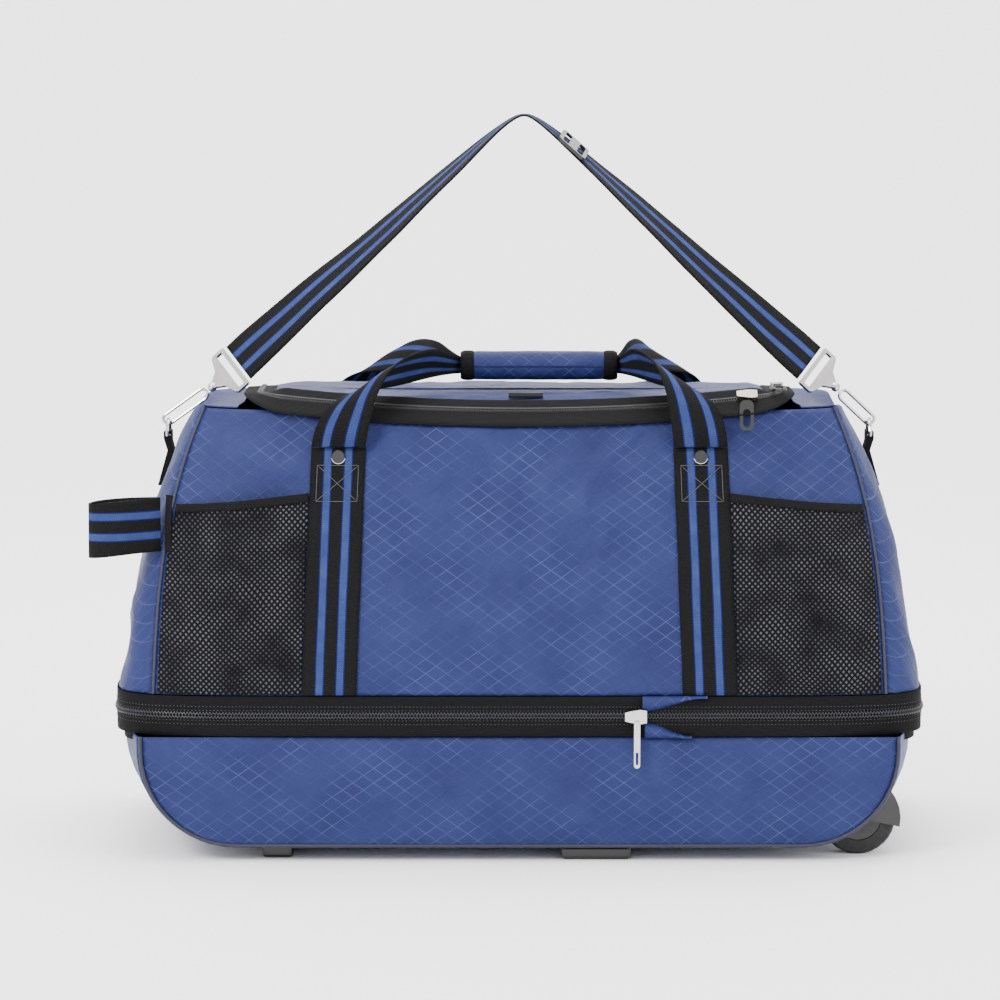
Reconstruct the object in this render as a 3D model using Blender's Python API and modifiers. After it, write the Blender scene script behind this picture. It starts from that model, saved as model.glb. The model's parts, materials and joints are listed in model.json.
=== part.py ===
"""Rolling duffel bag: a sewn bag with a stiff lower tub on two wheels, a belt zip that lets the upper
bag rise, a zipped lid, two carry handles, a shoulder strap and an end pull loop.

Metres, +Z up. X runs along the bag (wheels at +X), the front faces -Y, and the floor is z = 0.
"""
import math

import bmesh
import bpy
from mathutils import Matrix, Vector

# ---------------------------------------------------------------- driving dimensions
BODY_X = 0.00955           # middle of the body; the end pull loop makes the bag longer on the left
BODY_Y = 0.0033            # middle of the body; the belt slider and its pull stand out in front
HALF_LENGTH = 0.376        # of the upper bag at the belt
HALF_DEPTH = 0.165         # of the bag at the belt
BELT_Z = 0.1370            # line where the two halves of the belt zip meet
TAPE_UPPER_TOP = 0.1547
TAPE_LOWER_BASE = 0.1175
TOP_Z = 0.415              # end of the side walls
WALL_BASE = 0.1555
FABRIC = 0.0012            # thickness of the sewn panels
GAP = 0.0005               # clearance between neighbouring pieces

TUB_HALF = 0.351           # to the seam of the tub's front panel
TUB_BASE = 0.0145
TUB_TOP = 0.1165
TUB_RADIUS = 0.088         # lower corners
TUB_BULGE = 0.022          # of the tub's end walls

WEB_WIDTH = 0.050
WEB_THICK = 0.0018
STRAP_X_LOW = 0.1755       # carry strap's middle at the belt
STRAP_X_HIGH = 0.1670      # and at the rivet
STRAP_TOP_Z = 0.3810
RIVET_Z = 0.3735
HANDLE_HINGE = (-0.1345, 0.3825)

ZIP_X = 0.2425             # side runs of the top zip
ZIP_FRONT_Y = -0.1055
ZIP_REAR_Y = -0.0070
ZIP_RADIUS = 0.030
ZIP_Z = 0.4135             # the coil at the middle of the front run, where the bag sags
ZIP_SAG = 0.0145
ZIP_HALF = 0.0140          # half the width of the two tapes, in plan
LID_REAR_Y = -0.0045
TOP_REAR_Y = 0.0005

WHEEL_X = 0.316
WHEEL_Y = 0.120
WHEEL_R = 0.035
WHEEL_WIDTH = 0.022
HUB_R = 0.0220
AXLE_R = 0.0032

APEX_X = 0.005             # top of the shoulder strap's arch
APEX_Z = 0.6850
STRAP_SLOPE = 0.905
APEX_ROUND = 0.012
STRAP_REACH = 0.300        # from the apex out to each swivel

STRAP_Y = 0.030            # plane the strap stands in
D_RING_X = 0.3375
D_RING_Z = 0.3790
D_RING_R = 0.0145
D_WIRE = 0.0018

WRAP_X = 0.019             # middle of the handle wrap
WRAP_HALF = 0.073
WRAP_Y = -0.0040
WRAP_Z = 0.4480
WRAP_R = 0.0135

SLIDER_X = 0.107           # belt slider
TOP_SLIDER_X = 0.211
SIDE_SLIDER_X = 0.2415
LOOP_Z = 0.3100            # middle of the end pull loop

# ---------------------------------------------------------------- scene and materials
for old in list(bpy.data.objects):
    bpy.data.objects.remove(old, do_unlink=True)

PARTS = bpy.data.collections.new("rolling_duffel_bag")
CUTTERS = bpy.data.collections.new("cutters")
bpy.context.scene.collection.children.link(PARTS)
bpy.context.scene.collection.children.link(CUTTERS)

FINISHES = {
    "blue_nylon": ((0.075, 0.110, 0.300), 0.55, 0.0),
    "black_webbing": ((0.010, 0.010, 0.011), 0.80, 0.0),
    "zip_tape": ((0.012, 0.012, 0.013), 0.75, 0.0),
    "mesh_net": ((0.014, 0.014, 0.016), 0.85, 0.0),
    "black_plastic": ((0.015, 0.015, 0.016), 0.40, 0.0),
    "rubber": ((0.012, 0.012, 0.012), 0.70, 0.0),
    "grey_plastic": ((0.060, 0.060, 0.062), 0.45, 0.0),
    "dark_metal": ((0.180, 0.170, 0.160), 0.28, 1.0),
    "steel": ((0.450, 0.450, 0.450), 0.30, 1.0),
    "board": ((0.030, 0.030, 0.030), 0.60, 0.0),
}


def material(name):
    found = bpy.data.materials.get(name)
    if found:
        return found
    made = bpy.data.materials.new(name)
    made.use_nodes = True
    colour, roughness, metallic = FINISHES[name]
    shader = made.node_tree.nodes["Principled BSDF"]
    shader.inputs["Base Color"].default_value = (*colour, 1.0)
    shader.inputs["Roughness"].default_value = roughness
    shader.inputs["Metallic"].default_value = metallic
    return made


# ---------------------------------------------------------------- makers
def add_object(name, data, finish, collection=PARTS):
    made = bpy.data.objects.new(name, data)
    collection.objects.link(made)
    data.materials.append(material(finish))
    return made


def move_points(mesh, origin):
    """Puts the mesh's points relative to an origin that its object then takes."""
    mesh.transform(Matrix.Translation(-Vector(origin)))


def place(made, origin):
    move_points(made.data, origin)
    made.location = origin
    return made


def grid_mesh(name, point, across, along, ring=False):
    """A sheet of quads through point(u, v), with u and v from 0 to 1; a ring closes on itself in u."""
    mesh = bpy.data.meshes.new(name)
    shape = bmesh.new()
    columns = across if ring else across + 1
    rows = [[shape.verts.new(point(i / across, j / along)) for i in range(columns)] for j in range(along + 1)]
    for low, high in zip(rows, rows[1:]):
        for i in range(across):
            k = (i + 1) % columns
            shape.faces.new((low[i], low[k], high[k], high[i]))
    shape.to_mesh(mesh)
    shape.free()
    return mesh


def sheet(name, point, across, along, finish, thickness=FABRIC, ring=False, side=-1.0):
    """A panel: an open sheet with its thickness added by Solidify, on the side given (-1 is behind)."""
    made = add_object(name, grid_mesh(name, point, across, along, ring), finish)
    shell = made.modifiers.new("thickness", "SOLIDIFY")
    shell.thickness = thickness
    shell.offset = side
    shell.use_even_offset = True
    for polygon in made.data.polygons:
        polygon.use_smooth = True
    return made


def swept(name, rings, finish, closed=False):
    """A solid through a row of rings of points; the ends are capped unless it closes on itself."""
    mesh = bpy.data.meshes.new(name)
    shape = bmesh.new()
    loops = [[shape.verts.new(p) for p in ring] for ring in rings]
    count = len(loops[0])
    pairs = list(zip(loops, loops[1:]))
    if closed:
        pairs.append((loops[-1], loops[0]))
    for here, there in pairs:
        for i in range(count):
            k = (i + 1) % count
            shape.faces.new((here[i], here[k], there[k], there[i]))
    if not closed:
        shape.faces.new(list(reversed(loops[0])))
        shape.faces.new(loops[-1])
    bmesh.ops.recalc_face_normals(shape, faces=shape.faces)
    shape.to_mesh(mesh)
    shape.free()
    return add_object(name, mesh, finish)


def box(name, low, high, finish, bevel=0.0, collection=PARTS):
    bpy.ops.mesh.primitive_cube_add(size=1.0)
    made = bpy.context.active_object
    made.name = name
    size = [b - a for a, b in zip(low, high)]
    made.data.transform(Matrix.Diagonal((*size, 1.0)))
    made.location = [(a + b) / 2 for a, b in zip(low, high)]
    settle(made, finish, collection)
    if bevel:
        edges = made.modifiers.new("edges", "BEVEL")
        edges.width = bevel
        edges.segments = 2
    return made


def settle(made, finish, collection=PARTS):
    """Moves an object made by an operator into its collection and gives it its material."""
    for holder in list(made.users_collection):
        holder.objects.unlink(made)
    collection.objects.link(made)
    made.data.materials.append(material(finish))


def cylinder(name, centre, radius, length, finish, axis="Y", sides=24, collection=PARTS):
    bpy.ops.mesh.primitive_cylinder_add(vertices=sides, radius=radius, depth=length)
    made = bpy.context.active_object
    made.name = name
    made.location = centre
    turn = {"X": (0.0, math.pi / 2, 0.0), "Y": (math.pi / 2, 0.0, 0.0), "Z": (0.0, 0.0, 0.0)}
    made.rotation_euler = turn[axis]
    settle(made, finish, collection)
    return made


def turned(name, profile, centre, finish, steps=32):
    """A closed profile of (radius, along) points turned about an axis along Y."""
    mesh = bpy.data.meshes.new(name)
    shape = bmesh.new()
    points = [shape.verts.new((r, 0.0, h)) for r, h in profile]
    for here, there in zip(points, points[1:] + points[:1]):
        shape.edges.new((here, there))
    shape.to_mesh(mesh)
    shape.free()
    made = add_object(name, mesh, finish)
    screw = made.modifiers.new("turn", "SCREW")
    screw.steps = steps
    screw.render_steps = steps
    screw.use_merge_vertices = True
    screw.merge_threshold = 0.00001
    made.location = centre
    made.rotation_euler = (math.pi / 2, 0.0, 0.0)
    return made


def wire(name, points, radius, finish, cyclic=True, detail=2):
    curve = bpy.data.curves.new(name, "CURVE")
    curve.dimensions = "3D"
    curve.bevel_depth = radius
    curve.bevel_resolution = detail
    curve.use_fill_caps = True
    spline = curve.splines.new("POLY")
    spline.points.add(len(points) - 1)
    for target, p in zip(spline.points, points):
        target.co = (*p, 1.0)
    spline.use_cyclic_u = cyclic
    return add_object(name, curve, finish)


def plate(name, outlines, thickness, frame, finish):
    """A flat plate from 2D outlines (the first is the rim, the rest are holes), in a frame of its own."""
    curve = bpy.data.curves.new(name, "CURVE")
    curve.dimensions = "2D"
    curve.fill_mode = "BOTH"
    curve.extrude = thickness / 2
    for outline in outlines:
        spline = curve.splines.new("POLY")
        spline.points.add(len(outline) - 1)
        for target, (x, y) in zip(spline.points, outline):
            target.co = (x, y, 0.0, 1.0)
        spline.use_cyclic_u = True
    made = add_object(name, curve, finish)
    made.matrix_world = frame
    return made


def as_mesh(made):
    """The same piece as a welded mesh object, so that it can take a Boolean."""
    bpy.context.view_layer.update()
    seen = made.evaluated_get(bpy.context.evaluated_depsgraph_get())
    mesh = bpy.data.meshes.new_from_object(seen)
    shape = bmesh.new()
    shape.from_mesh(mesh)
    bmesh.ops.remove_doubles(shape, verts=shape.verts, dist=0.00001)
    shape.to_mesh(mesh)
    shape.free()
    name = made.name
    world = made.matrix_world.copy()
    bpy.data.objects.remove(made, do_unlink=True)
    result = bpy.data.objects.new(name, mesh)
    PARTS.objects.link(result)
    result.matrix_world = world
    return result


def cut_or_join(made, tool, operation):
    step = made.modifiers.new(operation.lower(), "BOOLEAN")
    step.object = tool
    step.operation = operation
    step.solver = "EXACT"
    tool.hide_render = True
    tool.display_type = "WIRE"


def rounded(half_x, half_y, radius, steps=4, centre=(0.0, 0.0)):
    """Points round a rectangle with round corners."""
    points = []
    for quarter in range(4):
        sx = (1, -1, -1, 1)[quarter]
        sy = (1, 1, -1, -1)[quarter]
        cx = centre[0] + sx * (half_x - radius)
        cy = centre[1] + sy * (half_y - radius)
        for k in range(steps + 1):
            turn = math.pi / 2 * (quarter + k / steps)
            points.append((cx + radius * math.cos(turn), cy + radius * math.sin(turn)))
    return points


def at(x, y, z):
    """A point of the body's own frame, in the world."""
    return Vector((BODY_X + x, BODY_Y + y, z))


def mix(a, b, share):
    return a + (b - a) * share


# ---------------------------------------------------------------- the bag's outline
def rise_share(z):
    return min(1.0, max(0.0, (z - WALL_BASE) / (TOP_Z - WALL_BASE)))


def half_length(q):
    return HALF_LENGTH - 0.036 * q - 0.034 * q ** 3


def half_depth(q):
    return HALF_DEPTH - 0.030 * q - 0.015 * q ** 3


def corner_power(q):
    return 8.0 - 3.0 * q


def seam_share(q):
    return 0.90 + 0.06 * q


def depth_at(x, q):
    """Distance from the middle plane to the front wall at x."""
    n = corner_power(q)
    return half_depth(q) * max(0.0, 1.0 - abs(x / half_length(q)) ** n) ** (1.0 / n)


def length_at(y, q):
    """Distance from the middle to the end wall at y."""
    n = corner_power(q)
    return half_length(q) * max(0.0, 1.0 - abs(y / half_depth(q)) ** n) ** (1.0 / n)


def front_wall(x, z, out=0.0, face=-1.0):
    """A point on the front wall (face -1) or back wall (face 1), moved out by a distance."""
    q = rise_share(z)
    return at(x, face * (depth_at(x, q) + out), z)


def outline_ring(count_long, count_short):
    """Points round the bag at the belt, as (x, y, outward x, outward y), counter-clockwise from the front."""
    seam_x = seam_share(0.0) * HALF_LENGTH
    seam_y = depth_at(seam_x, 0.0)
    n = corner_power(0.0)
    ring = []
    for k in range(count_long):
        x = seam_x * (2.0 * k / count_long - 1.0)
        ring.append((x, -depth_at(x, 0.0)))
    for k in range(count_short):
        y = seam_y * (2.0 * k / count_short - 1.0)
        ring.append((length_at(y, 0.0), y))
    ring += [(-x, -y) for x, y in ring]
    result = []
    for x, y in ring:
        out = Vector((math.copysign(abs(x / HALF_LENGTH) ** (n - 1) / HALF_LENGTH, x),
                      math.copysign(abs(y / HALF_DEPTH) ** (n - 1) / HALF_DEPTH, y)))
        out.normalize()
        result.append((x, y, out.x, out.y))
    return result


def belt_band(name, section, finish):
    """A closed ring round the bag with a section of (out, z) points."""
    rings = []
    for x, y, ox, oy in outline_ring(18, 12):
        rings.append([at(x + ox * out, y + oy * out, z) for out, z in section])
    return swept(name, rings, finish, closed=True)


# ---------------------------------------------------------------- the lower tub
def tub_half_width(z):
    if z >= TUB_BASE + TUB_RADIUS:
        return TUB_HALF
    drop = TUB_RADIUS - (z - TUB_BASE)
    return TUB_HALF - TUB_RADIUS + math.sqrt(max(0.0, TUB_RADIUS ** 2 - drop ** 2))


def tub_face(name, face):
    inset = 0.0025

    def point(u, v):
        z = TUB_BASE + 0.0004 + (TUB_TOP - TUB_BASE - 0.0004) * v ** 1.8
        s = 2.0 * u - 1.0
        bulge = 0.005 * math.sin(math.pi * v) * (1.0 - s * s)
        return at((tub_half_width(z) - inset) * s, face * (HALF_DEPTH + bulge), z)

    return sheet(name, point, 14, 9, "blue_nylon", side=-1.0 if face < 0 else 1.0)


def tub_end(name, sign):
    edge_y = HALF_DEPTH - 0.0035
    straight = TUB_TOP - TUB_BASE - TUB_RADIUS

    def point(u, v):
        length = straight + TUB_RADIUS * math.pi / 2
        gone = v * length
        if gone < straight:
            x, z, lean = TUB_HALF, TUB_TOP - gone, 1.0
        else:
            turn = (gone - straight) / TUB_RADIUS
            x = TUB_HALF - TUB_RADIUS + TUB_RADIUS * math.cos(turn)
            z = TUB_BASE + TUB_RADIUS - TUB_RADIUS * math.sin(turn)
            lean = math.cos(turn)
        y = edge_y * (2.0 * u - 1.0)
        bulge = TUB_BULGE * lean * (1.0 - (y / HALF_DEPTH) ** 2)
        return at(sign * (x + bulge), y, z)

    return sheet(name, point, 12, 12, "blue_nylon", side=1.0 if sign > 0 else -1.0)


def make_tub():
    tub_face("tub_front_panel", -1.0)
    tub_face("tub_back_panel", 1.0)
    tub_end("tub_left_end", -1.0)
    right = tub_end("tub_right_end", 1.0)
    for side, y in (("front", -WHEEL_Y), ("back", WHEEL_Y)):
        cutter = cylinder("wheel_well_" + side, at(WHEEL_X, y, WHEEL_R), 0.0430, 0.0350,
                          "black_plastic", sides=32, collection=CUTTERS)
        cut_or_join(right, cutter, "DIFFERENCE")
    flat_half = TUB_HALF - TUB_RADIUS - 0.0005
    box("tub_bottom", at(-flat_half, -0.1615, TUB_BASE), at(flat_half, 0.1615, TUB_BASE + FABRIC),
        "blue_nylon")
    box("base_board", at(-0.255, -0.155, 0.0163), at(0.255, 0.155, 0.0193), "board")
    belt_band("belt_stringer_lower",
              [(0.0, TAPE_LOWER_BASE), (0.0, BELT_Z - 0.0007), (0.0030, BELT_Z - 0.0007),
               (0.0030, BELT_Z - 0.0028), (0.0012, BELT_Z - 0.0034), (0.0012, TAPE_LOWER_BASE)], "zip_tape")
    belt_band("expansion_gusset",
              [(-0.0030, 0.1200), (-0.0030, 0.1530), (-0.0020, 0.1530), (-0.0020, 0.1200)], "blue_nylon")
    for side, y in (("front", -0.118), ("back", 0.118)):
        box("skid_foot_" + side, at(-0.239, y - 0.030, 0.0), at(-0.211, y + 0.030, TUB_BASE - GAP),
            "black_plastic", bevel=0.003)
    box("centre_skid", at(0.038, -0.158, 0.0), at(0.104, 0.158, TUB_BASE - GAP), "black_plastic", bevel=0.004)


# ---------------------------------------------------------------- wheels
def wheel_housing(name, y):
    """A hood over the wheel: an arch with two cheeks that reach in to the axle."""
    half = WHEEL_WIDTH / 2 + 0.0042
    reach = [(0.0042, -half), (0.0200, -half), (0.0395, -half),
             (0.0395, half), (0.0200, half), (0.0042, half)]

    def point(u, v):
        radius, along = reach[round(v * 5)]
        turn = math.radians(mix(-12.0, 205.0, u))
        return at(WHEEL_X + radius * math.cos(turn), y + along, WHEEL_R + radius * math.sin(turn))

    return sheet(name, point, 16, 5, "black_plastic", thickness=0.0020, side=1.0)


def make_wheels():
    half = WHEEL_WIDTH / 2
    for side, y in (("front", -WHEEL_Y), ("back", WHEEL_Y)):
        centre = at(WHEEL_X, y, WHEEL_R)
        wheel_housing("wheel_housing_" + side, y)
        cylinder("axle_" + side, centre, AXLE_R, 2 * half + 0.0120, "steel", sides=16)
        turned("tyre_" + side, [(WHEEL_R - 0.002, half), (WHEEL_R, half - 0.003), (WHEEL_R, 0.003 - half),
                                (WHEEL_R - 0.002, -half), (HUB_R, -half), (HUB_R, half)], centre, "rubber")
        turned("hub_" + side, [(HUB_R - GAP, half - 0.001), (HUB_R - GAP, 0.001 - half),
                                (0.0100, 0.003 - half),
                               (0.0100, -half - 0.001), (0.0036, -half - 0.001), (0.0036, half + 0.001),
                               (0.0100, half + 0.001), (0.0100, half - 0.003)], centre, "grey_plastic")


# ---------------------------------------------------------------- the upper bag
def front_top(u):
    """Height of the wall's top edge; it sags in the middle. u runs from -1 to 1 along the wall."""
    return 0.4000 + 0.0150 * min(1.0, (u / 0.8) ** 2)


def wall_point(u, v, face, inset=0.0014):
    trim = 0.0050 * max(0.0, (abs(u) - 0.7) / 0.3) if inset > 0.0 else 0.0
    z = mix(WALL_BASE, front_top(u) - trim, v)
    q = rise_share(z)
    x = u * (seam_share(q) * half_length(q) - inset)
    return x, face * depth_at(x, q), z


def make_walls():
    def front(u, v):
        return at(*wall_point(2.0 * u - 1.0, v, -1.0))

    def back(u, v):
        return at(*wall_point(2.0 * u - 1.0, v, 1.0))

    def top_rear(u, v):
        x = 0.2590 * (2.0 * u - 1.0)
        back_y = depth_at(x, rise_share(front_top(x / 0.294))) - 0.0004
        low_z = front_top(x / 0.294) + 0.0022
        high_z = 0.4240 - 0.0090 * (max(0.0, abs(x) - 0.2) / 0.06) ** 2
        rise = math.sin(min(1.0, v * 1.8) * math.pi / 2)
        return at(x, mix(back_y, TOP_REAR_Y, v ** 1.6), mix(low_z, high_z, rise))

    sheet("front_panel", front, 18, 8, "blue_nylon", side=-1.0)
    sheet("back_panel", back, 18, 8, "blue_nylon", side=1.0)
    sheet("top_rear_panel", top_rear, 16, 7, "blue_nylon", side=-1.0)
    for name, sign in (("left_end_panel", -1.0), ("right_end_panel", 1.0)):
        sheet(name, end_panel_point(sign), 12, 14, "blue_nylon", side=1.0 if sign < 0 else -1.0)


def end_panel_point(sign):
    """The end wall, then over the shoulder to the side run of the top zip."""
    turn_at = 0.75
    rim_x = 0.262

    def point(u, v):
        s = 2.0 * u - 1.0
        if v <= turn_at:
            edge_x, edge_y, z = wall_point(1.0, v / turn_at, -1.0, inset=-0.0010)
            q = rise_share(z)
            y = s * (abs(edge_y) - 0.0006)
            x = max(edge_x, length_at(y, q)) if abs(s) > 0.999 else length_at(y, q)
            dip = 0.0162 * (v / turn_at) ** 6 * (1.0 - s * s) ** 2
            return at(sign * x, y, z - dip + 0.0022 * (v / turn_at) ** 3)
        k = (v - turn_at) / (1.0 - turn_at)
        edge_x, edge_y, edge_z = wall_point(1.0 - 0.135 * k, 1.0, -1.0, inset=-0.0010)
        middle_x = rim_x + (half_length(1.0) - rim_x) * math.cos(k * math.pi / 2)
        middle_z = 0.4010 + 0.0130 * k
        share = (1.0 - s * s) ** 2
        edge_x = max(edge_x, rim_x)
        return at(sign * mix(edge_x, middle_x, share), s * (abs(edge_y) - 0.0010),
                  mix(edge_z + 0.0022, middle_z, share))

    return point


def strap_x(z):
    return mix(STRAP_X_LOW, STRAP_X_HIGH, (z - WALL_BASE) / (STRAP_TOP_Z - WALL_BASE))


def make_straps():
    """The sewn lengths of the carry webbing, and the rivets at their tops."""
    for face_name, face in (("front", -1.0), ("back", 1.0)):
        for side_name, side in (("left", -1.0), ("right", 1.0)):
            def point(u, v):
                z = mix(WALL_BASE + 0.0010, STRAP_TOP_Z, v)
                x = side * strap_x(z) + (u - 0.5) * WEB_WIDTH
                return front_wall(x, z, GAP + 0.0002, face)

            name = f"{face_name}_strap_{side_name}"
            sheet(name, point, 2, 8, "black_webbing", WEB_THICK, side=1.0 if face < 0 else -1.0)
            make_rivet(f"rivet_{face_name}_{side_name}", side * strap_x(RIVET_Z), face)


def make_rivet(name, x, face):
    stand = GAP + 0.0002 + WEB_THICK + 0.0009
    centre = front_wall(x, RIVET_Z, stand + 0.0009, face)
    rivet = cylinder(name, centre, 0.0062, 0.0018, "dark_metal", sides=16)
    rivet.rotation_euler[0] += face * math.radians(13.4)
    edges = rivet.modifiers.new("edges", "BEVEL")
    edges.width = 0.0006
    edges.segments = 1
    edges.limit_method = "ANGLE"


def make_pockets():
    """Net pockets on both sides of the front, held at the sides and foot and open at the top."""
    for name, sign in (("mesh_pocket_left", -1.0), ("mesh_pocket_right", 1.0)):
        def point(u, v):
            z = mix(WALL_BASE + 0.0010, mix(0.3400, 0.3280, u), v)
            q = rise_share(z)
            inner = strap_x(z) + WEB_WIDTH / 2 + 0.0020
            outer = seam_share(q) * half_length(q) - 0.0085
            swell = 0.0130 * math.sin(math.pi * u) * min(1.0, v * 1.6)
            return front_wall(sign * mix(inner, outer, u), z, 0.0010 + swell)

        sheet(name, point, 10, 8, "mesh_net", 0.0008, side=-1.0 if sign < 0 else 1.0)


# ---------------------------------------------------------------- the top zip and the lid
def zip_path(s):
    """The coil's line in plan, from the rear left, along the front, to the rear right: x, y and outward."""
    side = ZIP_REAR_Y - (ZIP_FRONT_Y + ZIP_RADIUS)
    bend = ZIP_RADIUS * math.pi / 2
    front = 2.0 * (ZIP_X - ZIP_RADIUS)
    total = 2.0 * side + 2.0 * bend + front
    gone = s * total
    mirror = gone > total / 2
    if mirror:
        gone = total - gone
    if gone < side:
        x, y, nx, ny = -ZIP_X, ZIP_REAR_Y - gone, -1.0, 0.0
    elif gone < side + bend:
        turn = (gone - side) / ZIP_RADIUS
        nx, ny = -math.cos(turn), -math.sin(turn)
        x = -(ZIP_X - ZIP_RADIUS) + nx * ZIP_RADIUS
        y = ZIP_FRONT_Y + ZIP_RADIUS + ny * ZIP_RADIUS
    else:
        x, y, nx, ny = -(ZIP_X - ZIP_RADIUS) + (gone - side - bend), ZIP_FRONT_Y, 0.0, -1.0
    return (-x, y, -nx, ny) if mirror else (x, y, nx, ny)


def zip_height(x):
    return ZIP_Z + ZIP_SAG * min(1.0, (x / ZIP_X) ** 2)


def zip_stations():
    """Shares of the path, close together round the two corners."""
    side = (ZIP_REAR_Y - ZIP_FRONT_Y - ZIP_RADIUS)
    bend = ZIP_RADIUS * math.pi / 2
    front = 2.0 * (ZIP_X - ZIP_RADIUS)
    total = 2.0 * side + 2.0 * bend + front
    marks = [side * k / 4 for k in range(4)]
    marks += [side + bend * k / 4 for k in range(4)]
    marks += [side + bend + front * k / 14 for k in range(14)]
    marks += [side + bend + front + bend * k / 4 for k in range(4)]
    marks += [side + 2 * bend + front + side * k / 4 for k in range(5)]
    return [m / total for m in marks]


def zip_point(s, out, lift):
    """A point beside the coil: out across the tape, and lifted off it."""
    x, y, nx, ny = zip_path(s)
    slope = 0.05 + 0.60 * ny * ny
    size = math.hypot(1.0, slope)
    return at(x + nx * (out + lift * slope / size), y + ny * (out + lift * slope / size),
              zip_height(x) - slope * out + lift / size)


def zip_tape(name, section):
    rings = [[zip_point(s, out, lift) for out, lift in section] for s in zip_stations()]
    return swept(name, rings, "zip_tape")


def lid_height(x, y):
    """The lid slopes up from the zip along its front edge and is level behind."""
    front_y = ZIP_FRONT_Y + 0.0134
    near = max(0.0, 1.0 - (y - front_y) / 0.030) ** 2
    edge = zip_height(x) + 0.0078 * max(0.0, 1.0 - abs(x / 0.229) ** 12)
    level = mix(0.4240, 0.4275, min(1.0, (x / 0.229) ** 4))
    return mix(level, edge, near)


def lid_point(u, v):
    front_y = ZIP_FRONT_Y + 0.0134
    radius = ZIP_RADIUS - 0.0134
    y = mix(front_y, LID_REAR_Y, v ** 1.6)
    short = max(0.0, (ZIP_FRONT_Y + ZIP_RADIUS) - y)
    half = ZIP_X - 0.0134 - radius + math.sqrt(max(0.0, radius ** 2 - short ** 2))
    x = half * (2.0 * u - 1.0)
    return at(x, y, lid_height(x, y))


def make_lid():
    zip_tape("top_stringer_outer", [(0.0008, 0.0), (ZIP_HALF, 0.0), (ZIP_HALF, -0.0012), (0.0008, -0.0012)])
    zip_tape("lid_stringer", [(-0.0008, -0.0012), (1.0 * (0.0014 - ZIP_HALF), -0.0012),
                              (0.0014 - ZIP_HALF, 0.0), (-0.0040, 0.0), (-0.0036, 0.0018), (-0.0008, 0.0018)])
    sheet("lid_panel", lid_point, 18, 10, "blue_nylon", side=-1.0)
    tab_x = 0.006
    rings = []
    for y, lift in ((-0.0890, 0.0010), (-0.0860, 0.0012), (-0.0790, 0.0016)):
        z = lid_height(tab_x, y) + FABRIC + lift
        rings.append([at(tab_x - 0.016, y, z), at(tab_x + 0.016, y, z),
                      at(tab_x + 0.016, y, z + 0.0018), at(tab_x - 0.016, y, z + 0.0018)])
    swept("lid_tab", rings, "black_webbing")


# ---------------------------------------------------------------- carry handles
HANDLE_ROUTE = [(-0.1345, 0.3830, 0.00, 0.050), (-0.1405, 0.3950, 0.02, 0.050),
                (-0.1420, 0.4100, 0.06, 0.050),
                (-0.1380, 0.4270, 0.13, 0.048), (-0.1260, 0.4405, 0.24, 0.045),
                (-0.1080, 0.4480, 0.38, 0.042),
                (-0.0820, 0.4520, 0.56, 0.038), (-0.0500, 0.4530, 0.74, 0.030),
                (-0.0240, 0.4500, 0.89, 0.019),
                (-0.0080, 0.4480, 0.982, 0.015), (-0.0080, 0.4480, 1.04, 0.015)]


def handle_stations(face, side):
    """Middle, width direction and width down one arm of a handle, from the rivet to the wrap."""
    stations = []
    for y, z, share, width in HANDLE_ROUTE:
        start = side * STRAP_X_HIGH
        end = WRAP_X + side * WRAP_HALF
        x = mix(start, end, share)
        turn = math.radians(90.0) * min(1.0, share) ** 0.8
        across = Vector((math.cos(turn), 0.0, -side * math.sin(turn)))
        if face > 0:
            y = 0.0010 if share > 1.0 else -y - 0.0010
        stations.append((at(x, y, z), across, width))
    return stations


def make_handle(name, face):
    left = handle_stations(face, -1.0)
    right = handle_stations(face, 1.0)
    middle = []
    for k in range(1, 4):
        x = mix(left[-1][0].x, right[-1][0].x, k / 4)
        middle.append((Vector((x, left[-1][0].y, left[-1][0].z)), Vector((0.0, 0.0, -1.0)), 0.015))
    rings = left + middle
    for p, across, width in reversed(right):
        rings.append((p, Vector((across.x, 0.0, -abs(across.z))), width))

    def point(u, v):
        p, across, width = rings[round(v * (len(rings) - 1))]
        return p + across * width * (u - 0.5)

    made = sheet(name, point, 2, len(rings) - 1, "black_webbing", WEB_THICK, side=0.0)
    made.modifiers[0].use_even_offset = False
    return place(made, at(0.0, face * abs(HANDLE_HINGE[0]), HANDLE_HINGE[1]))


def make_handles():
    make_handle("front_handle", -1.0)
    make_handle("back_handle", 1.0)
    opening = math.radians(58.0)

    def point(u, v):
        turn = mix(opening, 2.0 * math.pi - opening, v)
        x = mix(WRAP_X - WRAP_HALF, WRAP_X + WRAP_HALF, u)
        return at(x, WRAP_Y + WRAP_R * math.cos(turn), WRAP_Z + WRAP_R * math.sin(turn))

    wrap = sheet("handle_wrap", point, 4, 14, "blue_nylon", 0.0018, side=-1.0)
    place(wrap, at(0.0, HANDLE_HINGE[0], HANDLE_HINGE[1]))


# ---------------------------------------------------------------- zip sliders and pulls
def slider(name, centre, frame, length=0.020, width=0.0145, height=0.0055):
    """A slider body: a wedge-shaped block, wider where the teeth come apart."""
    rings = []
    for share, wide in ((0.0, 0.62), (0.25, 0.80), (0.70, 1.00), (1.0, 0.86)):
        x = (share - 0.5) * length
        half = wide * width / 2
        low = height * 0.10
        rings.append([centre + frame @ Vector(p) for p in
                      ((x, -half, 0.0), (x, half, 0.0), (x, half - low, height), (x, low - half, height))])
    return place(swept(name, rings, "dark_metal"), centre)


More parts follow.
